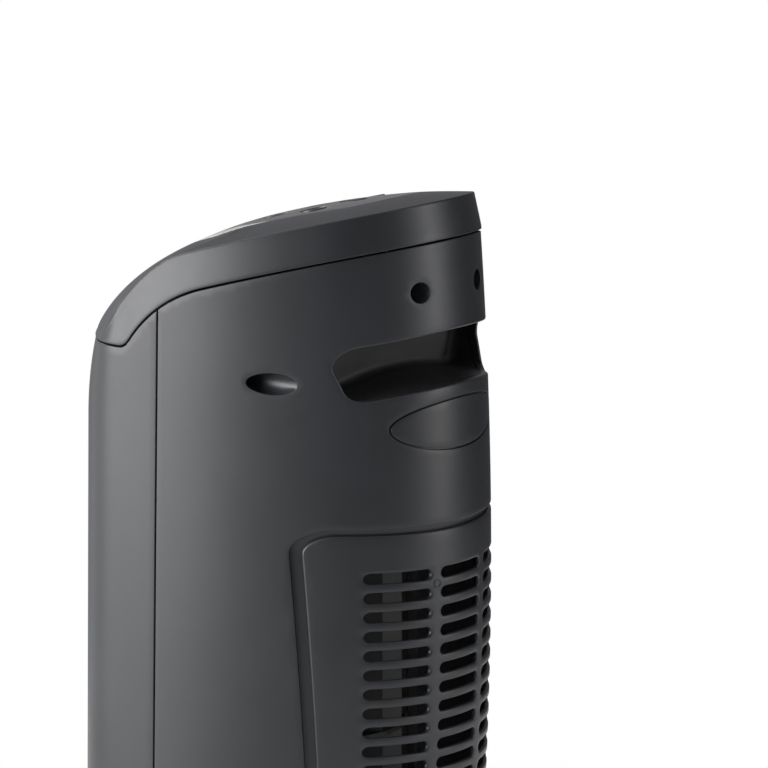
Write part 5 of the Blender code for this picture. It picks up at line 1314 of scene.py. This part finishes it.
PANEL_STEPS, LENS_STEPS = (0.0028, 0.005), (0.002, 0.004)


def top_point(x, y, depth=0.0):
    return top_place(np.array([x]), np.array([y]), depth)[0]


front_z = top_point(0.0, CONTROL_CENTRE - CONTROL_REACH)[2]
back_z = top_point(0.0, CONTROL_CENTRE + CONTROL_REACH)[2]
PANEL_TILT = math.atan((back_z - front_z) / (2 * CONTROL_REACH))


def on_panel(x, y):
    """A matrix with its Z square to the panel, from the top surface at a place."""
    return Matrix.Translation(top_point(x, y)) @ Matrix.Rotation(PANEL_TILT, 4, "X")


def display_loop(inset):
    sides = (DISPLAY_HALF_WIDTH, DISPLAY_HALF_WIDTH, DISPLAY_FRONT, DISPLAY_BACK)
    return even(trapezium(*sides, DISPLAY_ROUND, inset), DISPLAY_SPACING)


def glossy_plastic(name, colour, roughness, orange_peel=0.000006):
    """Lacquered or polished plastic: even colour, a slow waviness, and faint wiping marks."""
    finish = Finish(name)
    wave = finish.noise(0.0035, 1.0)
    wiped = finish.noise(0.012, 4.0, finish.place((1.0, 0.25, 1.0)))
    return finish.shade(
        Base_Color=colour,
        Roughness=roughness + finish.limit(wiped, 0.42, 0.75, 0.0, 0.10),
        Coat_Weight=0.25,
        Coat_Roughness=0.08,
        Normal=finish.bump(wave, orange_peel),
    )


panel_grey = glossy_plastic("glossy_grey_plastic_fine", (0.060, 0.059, 0.058), 0.30)
panel = Moulding(top_place)
panel_loop = even(anticlockwise(plan_loop(panel_share - GAP_SHARE)), PANEL_SPACING)
holes = [(circle(x, y, BUTTON_RADIUS + BUTTON_GAP), HOLE_EDGE) for x, y in BUTTONS.values()]
holes.append((display_loop(-GAP), DISPLAY_EDGE))
panel.plate(panel_loop, PANEL_THICKNESS, PANEL_EDGE, PANEL_STEPS, holes)
for x, y in PANEL_POSTS:
    add_turned(panel, POST_PROFILE, POST_STEPS, on_panel(x, y))
dress_node("control_panel", panel, panel_grey)

# %% Display lens
lens_finish = glossy_plastic("smoked_lens_fine", (0.010, 0.010, 0.012), 0.07, 0.000002)
lens = Moulding(top_place)
lens.plate(display_loop(0.0), PANEL_THICKNESS, HOLE_EDGE, LENS_STEPS)
dress_node("display_lens", lens, lens_finish)

# %% Trim crescent
silver = glossy_plastic("silver_plastic_fine", (0.56, 0.55, 0.51), 0.26)
chosen = np.flatnonzero(normals > TRIM_TURN[0] + TRIM_TIP)
chosen = np.concatenate([chosen[columns[chosen] > 0], chosen[columns[chosen] < 0]])
outer_share = (opening_share - GAP_SHARE)[chosen][:, None]
inner_share = (panel_share + GAP_SHARE)[chosen][:, None]
TRIM_ROUND = 0.0004
section = [(0.0, PANEL_THICKNESS)] + fillet(TRIM_ROUND, 3)
arms = (RIM - CROWN_MIDDLE)[chosen]
trim = Moulding(top_place)
trim_rings = []
for edge_share, way_in, profile in ((outer_share, -1, section), (inner_share, 1, section[::-1])):
    for inward, depth in profile:
        step = np.minimum(inward / TOWER_HALF_WIDTH, (outer_share - inner_share) / 3)
        trim_rings.append(trim.ring(CROWN_MIDDLE + arms * (edge_share + way_in * step), depth))
trim.join(trim_rings, closed=True, open_ends=True)
trim.faces.append(tuple(ring[0] for ring in trim_rings))
trim.faces.append(tuple(ring[-1] for ring in trim_rings[::-1]))
dress_node("panel_trim", trim, silver)

# %% Buttons
button_black = glossy_plastic("black_plastic_button", (0.016, 0.016, 0.018), 0.30)
BUTTON_FLANGE, FLANGE_THICKNESS, BUTTON_SEAT = 0.0011, 0.0010, 0.0012
BUTTON_STEM, BUTTON_FOOT, BUTTON_EDGE, BUTTON_STEPS = 0.0018, -0.0080, 0.0005, 40
DISH_SHARES = (0.85, 0.7, 0.5, 0.3, 0.15)


def button_profile():
    """Stem, flange and dished head, from the lower end."""
    flange_top = -PANEL_THICKNESS - BUTTON_SEAT
    flange_low = flange_top - FLANGE_THICKNESS
    wide = BUTTON_RADIUS + BUTTON_FLANGE
    profile = [(BUTTON_STEM, BUTTON_FOOT), (BUTTON_STEM, flange_low), (wide, flange_low)]
    profile += [(wide, flange_top), (BUTTON_RADIUS, flange_top)]
    profile += [(BUTTON_RADIUS - inward, -depth) for inward, depth in fillet(BUTTON_EDGE, 4)]
    for share in DISH_SHARES:
        profile.append(((BUTTON_RADIUS - BUTTON_EDGE) * share, -BUTTON_DISH * (1 - share * share)))
    return profile


for word, (x, y) in BUTTONS.items():
    key = Moulding(top_place)
    add_turned(key, button_profile(), BUTTON_STEPS, on_panel(x, y))
    dress_node(word + "_button", key, button_black, body=word)

# %% [markdown]
# ## Outlet grille
# Warm air leaves through wide slots in the front. The grille is a black moulding with a bar down
# its middle, and the same row tree lays its slots, two tiles across and twelve rows down.

# %% Outlet grille
LOUVRE_PITCH, LOUVRE_SLOT, LOUVRE_ROWS = 0.0160, 0.0095, 12
LOUVRE_INNER, LOUVRE_OUTER, LOUVRE_ROUND = 0.0025, 0.0440, 0.0012
LOUVRE_EDGE, GRILLE_EDGE = 0.0005, 0.0006
louvre_top = (GRILLE_LOW + GRILLE_HIGH) / 2 + LOUVRE_PITCH * (LOUVRE_ROWS - 1) / 2
LOUVRE_COLUMNS = (
    (-LOUVRE_OUTER - LOUVRE_INNER, 0.0, -LOUVRE_OUTER, -LOUVRE_INNER),
    (0.0, LOUVRE_OUTER + LOUVRE_INNER, LOUVRE_INNER, LOUVRE_OUTER),
)


def louvre_slot(low, high):
    return slot_loop(low, high, LOUVRE_SLOT / 2, TILE_SPACING, LOUVRE_ROUND, steps=4), LOUVRE_EDGE


grille = tiled_sheet(
    front_skin, on_front, grille_loop(GRILLE_GROOVE), (GRILLE_EDGE, 4), GRILLE_THICKNESS, black,
    LOUVRE_COLUMNS, louvre_top, LOUVRE_PITCH, LOUVRE_ROWS, louvre_slot,
)
dress_node("front_grille", grille, black, weld=WELD)

# %% [markdown]
# ## Base
# The round base is one turned form: an upright rim, a shoulder that sweeps in, a flat top and the
# hollow spigot that the tower turns on. It could be a Spin of a profile, but the cord gland sits
# in a round recess in the rim. So the rim is a flat pattern with a hole in it, wrapped round the
# circle, and rings carry on from it up and round the inside.

# %% Base shell
BASE_RADIUS, BASE_TOP, BASE_RIM, BASE_WALL, BASE_FLAT = 0.098, 0.040, 0.0024, 0.0028, 0.049
SHOULDER_SHARES = ((0.0, 0.38), (0.10, 0.54), (0.45, 0.77), (1.0, 1.0))
SPIGOT_RADIUS, SPIGOT_BORE, SPIGOT_TOP, SPIGOT_EDGE = 0.015, 0.011, 0.0600, 0.0004
GLAND_HEIGHT, GLAND_BORE, GLAND_BODY = 0.0104, 0.0030, 0.0040
GLAND_FLANGE, GLAND_FLANGE_THICKNESS = 0.0051, 0.0012
GLAND_FACE = BASE_RADIUS * math.cos(math.pi / 28)
BASE_COLUMNS, RIM_ROWS, SHOULDER_STEPS = 180, 6, 7
RIM_EDGE, RIM_STEP, FLAT_MARGIN, INNER_SHARE = 0.0006, 0.0028, 0.002, 0.8


def wrapped(u, z, depth=0.0):
    """Wraps a flat strip round the base. u is measured round the rim from the middle of the back."""
    turn = u / BASE_RADIUS
    radius = BASE_RADIUS - depth
    return np.stack([radius * np.sin(turn), radius * np.cos(turn), np.broadcast_to(z, np.shape(u))], -1)


def smooth_line(corners, steps):
    """A Catmull-Rom curve through the corners, which starts upright and ends level."""
    points = [(corners[0][0], 2 * corners[0][1] - corners[1][1])] + list(corners)
    points.append((2 * corners[-1][0] - corners[-2][0], corners[-1][1]))
    points = np.array(points)
    line = []
    for before, start, end, after in zip(points, points[1:], points[2:], points[3:]):
        for share in np.linspace(0, 1, steps, endpoint=False):
            first = 2 * start + (end - before) * share
            second = (2 * before - 5 * start + 4 * end - after) * share ** 2
            third = (3 * start - before - 3 * end + after) * share ** 3
            line.append((first + second + third) / 2)
    return line + [points[-2]]


shoulder = []
for inward, up in SHOULDER_SHARES:
    radius = BASE_RADIUS - (BASE_RADIUS - BASE_FLAT) * inward
    shoulder.append((radius, BASE_RIM + (BASE_TOP - BASE_RIM) * up))
outer_line = smooth_line(shoulder, SHOULDER_STEPS)
inset = BASE_WALL * INNER_SHARE
inner_line = [(radius - inset, height - inset) for radius, height in outer_line[1:]]
strip = np.linspace(-math.pi, math.pi, BASE_COLUMNS + 1) * BASE_RADIUS
rim_low, rim_high = BASE_RIM + RIM_EDGE, shoulder[0][1]

base = Moulding(wrapped)


def rim_patch(depth, hole_radius):
    """The upright part of the rim, as a strip with one hole. Gives the hole's points."""
    border = rectangle(strip, np.linspace(rim_low, rim_high, RIM_ROWS + 1))
    spot = circle(0.0, GLAND_HEIGHT, hole_radius)
    spot[:, 0] = BASE_RADIUS * np.arcsin(spot[:, 0] / (BASE_RADIUS - depth))
    ring = base.ring(spot, depth)
    base.fill((border, base.ring(border, depth)), [(spot, ring)], RIM_STEP, depth)
    return ring


def gland_circle(piece, radius, y):
    """A ring round the gland's axis, which runs straight back."""
    spot = circle(0.0, GLAND_HEIGHT, radius)
    return piece.add(np.stack([spot[:, 0], np.full(len(spot), y), spot[:, 1]], 1))


def rings_of(profile):
    """A ring round the base for each (radius, height), joined in their order."""
    base.join([base.add(wrapped(strip[:-1], height, BASE_RADIUS - radius)) for radius, height in profile])


mouth = rim_patch(0.0, GLAND_FLANGE + GAP)
inner_mouth = rim_patch(BASE_WALL, GLAND_BODY + GAP)
seat = GLAND_FACE - GLAND_FLANGE_THICKNESS - GAP
around_gland = [gland_circle(base, radius + GAP, seat) for radius in (GLAND_FLANGE, GLAND_BODY)]
base.join([mouth] + around_gland + [inner_mouth])
top_lines = [(BASE_FLAT - FLAT_MARGIN, BASE_TOP), (SPIGOT_RADIUS, BASE_TOP)]
top_lines += [(SPIGOT_RADIUS, SPIGOT_TOP - SPIGOT_EDGE), (SPIGOT_RADIUS - SPIGOT_EDGE, SPIGOT_TOP)]
top_lines += [(SPIGOT_BORE, SPIGOT_TOP), (SPIGOT_BORE, BASE_TOP - BASE_WALL)]
inside_radius = BASE_RADIUS - BASE_WALL
rings_of(outer_line + top_lines + inner_line[::-1] + [(inside_radius, rim_high)])
rim_foot = [(BASE_RADIUS - inward, BASE_RIM + up) for inward, up in fillet(RIM_EDGE, 4)[::-1]]
rings_of([(inside_radius, rim_low), (inside_radius, BASE_RIM)] + rim_foot)
dress_node("base_shell", base, charcoal, "base", weld=WELD)

# %% Base plate
PLATE_RADIUS, PLATE_LOW, PLATE_THICKNESS = 0.0949, 0.0024, 0.0025
DISC_ROUND, PLUNGER_HOLE_ROUND, DISC_STEPS = (0.0004, 3), (0.0003, 2), (0.008, 0.012)
PLUNGER_X, PLUNGER_Y, PLUNGER_HOLE = 0.040, -0.034, 0.0032

under_side = Moulding(lambda x, y, depth: np.stack([x, y, np.full(len(x), PLATE_LOW + depth)], -1))
disc = circle(0, 0, PLATE_RADIUS, BASE_COLUMNS)
plunger_hole = circle(PLUNGER_X, PLUNGER_Y, PLUNGER_HOLE, 32)
under_side.plate(disc, PLATE_THICKNESS, DISC_ROUND, DISC_STEPS, [(plunger_hole, PLUNGER_HOLE_ROUND)])
dress_node("base_plate", under_side, black, "base")


# %% Rubber feet and cord gland
def soft_rubber(name):
    finish = Finish(name)
    fine = finish.noise(0.0007, 4.0, roughness=0.7)
    dust = finish.noise(0.005, 3.0)
    return finish.shade(
        **finish.mottle(dust, 0.5, 0.8, (0.016, 0.016, 0.016), (0.040, 0.039, 0.037)),
        Roughness=0.78 + 0.12 * dust,
        Specular_IOR_Level=0.3,
        Normal=finish.bump(fine, 0.00005),
    )


rubber = soft_rubber("soft_rubber")
PAD_RADIUS, FOOT_HEIGHT, PAD_CIRCLE, PAD_EDGE = 0.008, 0.0021, 0.078, 0.0006
PAD_HOLLOW, PAD_HOLLOW_DEPTH, PAD_STEPS = (0.55, 0.62), 0.0004, 40
foot_profile = [(PAD_RADIUS * PAD_HOLLOW[0], PAD_HOLLOW_DEPTH), (PAD_RADIUS * PAD_HOLLOW[1], 0.0)]
foot_profile += [(PAD_RADIUS - inward, up) for inward, up in reversed(fillet(PAD_EDGE, 4))]
foot_profile += [(PAD_RADIUS, FOOT_HEIGHT)]
foot_points, foot_faces = turned(foot_profile, PAD_STEPS)
foot_mesh = bpy.data.meshes.new("foot")
foot_mesh.from_pydata(foot_points, [], foot_faces)
foot = bpy.data.objects.new("foot", foot_mesh)
pad_at = PAD_CIRCLE / math.sqrt(2)
pads = bpy.data.meshes.new("foot_places")
pads.from_pydata([(x, y, 0.0) for x in (-pad_at, pad_at) for y in (-pad_at, pad_at)], [], [])
feet_mesh = grow(SPOTS, pads, {"Shape": foot, "Finish": rubber})
bpy.data.objects.remove(foot, do_unlink=True)
FEET = ["foot_back_left", "foot_back_right", "foot_front_left", "foot_front_right"]
dress("feet", feet_mesh, rubber, FEET, "base")

GLAND_EDGE = 0.0003
inner_face = GLAND_FACE - BASE_WALL - GAP - GLAND_FLANGE_THICKNESS
flange_back = GLAND_FACE - GLAND_FLANGE_THICKNESS
gland_profile = [
    (GLAND_BORE, inner_face),
    (GLAND_FLANGE, inner_face),
    (GLAND_FLANGE, inner_face + GLAND_FLANGE_THICKNESS),
    (GLAND_BODY, inner_face + GLAND_FLANGE_THICKNESS),
    (GLAND_BODY, flange_back),
    (GLAND_FLANGE, flange_back),
    (GLAND_FLANGE, GLAND_FACE - 2 * GLAND_EDGE),
    (GLAND_FLANGE - GLAND_EDGE, GLAND_FACE - GLAND_EDGE / 2),
    (GLAND_FLANGE - 3 * GLAND_EDGE, GLAND_FACE),
    (GLAND_BORE + 2 * GLAND_EDGE, GLAND_FACE),
    (GLAND_BORE + GLAND_EDGE / 2, GLAND_FACE - GLAND_EDGE / 2),
    (GLAND_BORE, GLAND_FACE - 2 * GLAND_EDGE),
]
gland = Moulding(wrapped)
gland.join([gland_circle(gland, radius, y) for radius, y in gland_profile], closed=True)
dress_node("cord_gland", gland, rubber, "base")

# %% [markdown]
# ## What shows through the slots
# The blower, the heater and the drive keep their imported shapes, because only slivers of them are
# ever seen. They still get real finishes: light glances off the blades and fins inside, and flat
# colours there would look like holes. The material of a CAD node is swapped by its slot's name.

# %% Finishes for the parts inside
def bare_aluminium(name):
    finish = Finish(name)
    inputs = {"Vector": finish.place(), "Scale": 210.0, "Distortion": 0.0}
    fins = finish.node("ShaderNodeTexWave", {"bands_direction": "Z"}, inputs)
    patch = finish.noise(0.004, 2.0)
    return finish.shade(
        **finish.mottle(patch, 0.3, 0.8, (0.62, 0.62, 0.63), (0.50, 0.50, 0.50), metallic=1.0),
        Roughness=0.32 + 0.14 * patch,
        Normal=finish.bump(fins, 0.0006),
    )


def natural_nylon(name):
    finish = Finish(name)
    cloudy = finish.noise(0.006, 3.0)
    return finish.shade(
        **finish.mottle(cloudy, 0.3, 0.75, (0.72, 0.71, 0.66), (0.62, 0.60, 0.54)),
        Roughness=0.42 + 0.08 * cloudy,
        Normal=finish.bump(finish.noise(0.0008, 2.0), 0.00001),
    )


def green_board(name):
    finish = Finish(name)
    tracks = finish.noise(0.0022, 1.0, finish.place((1.0, 3.0, 1.0)))
    return finish.shade(
        **finish.mottle(tracks, 0.48, 0.52, (0.020, 0.120, 0.050), (0.035, 0.200, 0.085)),
        Roughness=0.38 + 0.1 * tracks,
        Normal=finish.bump(finish.limit(tracks, 0.48, 0.52), 0.00003),
    )


FINISHES = {
    "charcoal_plastic": charcoal,
    "glossy_grey_plastic": panel_grey,
    "black_plastic": black,
    "silver_plastic": silver,
    "smoked_lens": lens_finish,
    "rubber": rubber,
    "steel": steel,
    "aluminium": bare_aluminium("bare_aluminium"),
    "nylon": natural_nylon("natural_nylon"),
    "circuit_board": green_board("green_board"),
}
slot_of = {part["node"]: part["material_slot"] for part in frame["record"]["subparts"]}
for name, node in frame["nodes"].items():
    for place in node.material_slots:
        place.material = FINISHES[slot_of[name]]
print("nodes with a finish:", len(frame["nodes"]))

# %% [markdown]
# ## Stage and light
# The photograph has a white ground and soft light. A broad softbox stands beyond the front and gives
# the side its pale sheen. A small one hangs high in front, and a narrow one stands behind and
# lights the back. The world is white to the camera, mirrors and glass, and dim to all else. Upright
# cards stand where the gloss should show no white: two black ones and a grey one, which only
# reflections see. A painted room would do as much, but a card can be moved on its own. The floor
# is pale near the heater, where it holds the shadow, and fades into the white.

# %% Floor
WHITE = (1, 1, 1, 1)
SEEING_RAYS = ("Is Camera Ray", "Is Glossy Ray", "Is Transmission Ray")
FLOOR_HALF, FADE_FROM, FADE_TO, FADE_LEAST = 3.0, 0.18, 0.62, 0.30


def pale_floor():
    finish = Finish("pale_floor")
    tree = finish.tree
    finish.shade(Base_Color=(0.80, 0.80, 0.80), Roughness=0.9)
    paths = tree.nodes.new("ShaderNodeLightPath")
    camera_ray, glossy_ray, through_ray = (Signal(finish, paths.outputs[kind]) for kind in SEEING_RAYS)
    seen = camera_ray + glossy_ray + through_ray
    where = finish.node("ShaderNodeTexCoord", output=3)
    away = finish.node("ShaderNodeVectorMath", {"operation": "LENGTH"}, {0: where}, output=1)
    share = finish.limit(away, FADE_FROM, FADE_TO, FADE_LEAST, 1.0)
    white = finish.node("ShaderNodeEmission", {}, {"Color": WHITE, "Strength": 1.0})
    mixed = finish.node("ShaderNodeMixShader")
    node = mixed.socket.node
    least = finish.node("ShaderNodeMath", {"operation": "MINIMUM"}, {0: seen, 1: 1.0})
    finish.put(node.inputs[0], least * share)
    tree.links.new(finish.shader.outputs[0], node.inputs[1])
    tree.links.new(white.socket, node.inputs[2])
    tree.links.new(mixed.socket, finish.output.inputs["Surface"])
    return finish.material


floor_mesh = bpy.data.meshes.new("floor")
corners = [(FLOOR_HALF * x, FLOOR_HALF * y, 0) for x, y in ((-1, -1), (1, -1), (1, 1), (-1, 1))]
floor_mesh.from_pydata(corners, [], [(0, 1, 2, 3)])
floor_mesh.materials.append(pale_floor())
floor = bpy.data.objects.new("floor", floor_mesh)
scene.collection.objects.link(floor)
print("floor", 2 * FLOOR_HALF, "m wide")

# %% World
ROOM_STRENGTH, GROUND_STRENGTH = 0.08, 1.0

world = bpy.data.worlds.new("white_room")
scene.world = world
world.use_nodes = True
nodes, links = world.node_tree.nodes, world.node_tree.links
nodes.clear()
paths = nodes.new("ShaderNodeLightPath")
seen = None
for kind in SEEING_RAYS:
    larger = nodes.new("ShaderNodeMath")
    larger.operation = "MAXIMUM"
    links.new(paths.outputs[kind], larger.inputs[0])
    if seen:
        links.new(seen.outputs[0], larger.inputs[1])
    seen = larger
choose = nodes.new("ShaderNodeMixShader")
links.new(seen.outputs[0], choose.inputs[0])
for place, strength in ((1, ROOM_STRENGTH), (2, GROUND_STRENGTH)):
    light = nodes.new("ShaderNodeBackground")
    light.inputs["Color"].default_value = WHITE
    light.inputs["Strength"].default_value = strength
    links.new(light.outputs[0], choose.inputs[place])
links.new(choose.outputs[0], nodes.new("ShaderNodeOutputWorld").inputs[0])
print("world:", len(nodes), "nodes")


# %% Lamps and flags
LAMP_TARGET, LAMP_DISTANCE = Vector((0.0, 0.0, 0.26)), 1.6
CARD_HEIGHT = Vector((0.0, 0.0, 2.4))


def towards(azimuth, elevation=0.0):
    """A direction from the tower, in degrees from +X and up from level."""
    turn, rise = math.radians(azimuth), math.radians(elevation)
    return Vector((math.cos(turn) * math.cos(rise), math.sin(turn) * math.cos(rise), math.sin(rise)))


def softbox(name, azimuth, elevation, width, height, power):
    """A rectangular lamp that looks at the middle of the tower."""
    lamp = bpy.data.lights.new(name, "AREA")
    lamp.shape = "RECTANGLE"
    lamp.size, lamp.size_y = width, height
    lamp.energy = power
    made = bpy.data.objects.new(name, lamp)
    scene.collection.objects.link(made)
    away = towards(azimuth, elevation)
    made.location = LAMP_TARGET + away * LAMP_DISTANCE
    made.rotation_euler = away.to_track_quat("Z", "Y").to_euler()


def flag(name, azimuth, width, distance, finish=black):
    """An upright card that only reflections see. It keeps the white room out of the gloss."""
    away = towards(azimuth)
    aside = Vector((-away.y, away.x, 0.0)) * width / 2
    low, high = away * distance, away * distance + CARD_HEIGHT
    card = bpy.data.meshes.new(name)
    card.from_pydata([low - aside, low + aside, high + aside, high - aside], [], [(0, 1, 2, 3)])
    card.materials.append(finish)
    made = bpy.data.objects.new(name, card)
    scene.collection.objects.link(made)
    made.visible_camera = made.visible_diffuse = made.visible_shadow = made.visible_transmission = False


softbox("front_softbox", -32, 8, 1.65, 0.9, 38)
softbox("high_front_softbox", -90, 40, 0.6, 0.9, 8)
softbox("rear_strip", 113, 8, 0.3, 0.9, 5)
flag("flag_by_the_camera", 42, 1.8, 0.8)
flag("flag_behind", 172, 1.4, 0.7)
grey_card = Finish("grey_card").shade(
    Base_Color=(0.0, 0.0, 0.0),
    Emission_Color=(0.3, 0.3, 0.32),
    Emission_Strength=1.0,
)
flag("flag_beyond", 224, 0.9, 0.7, grey_card)

scene.view_settings.view_transform = "Standard"
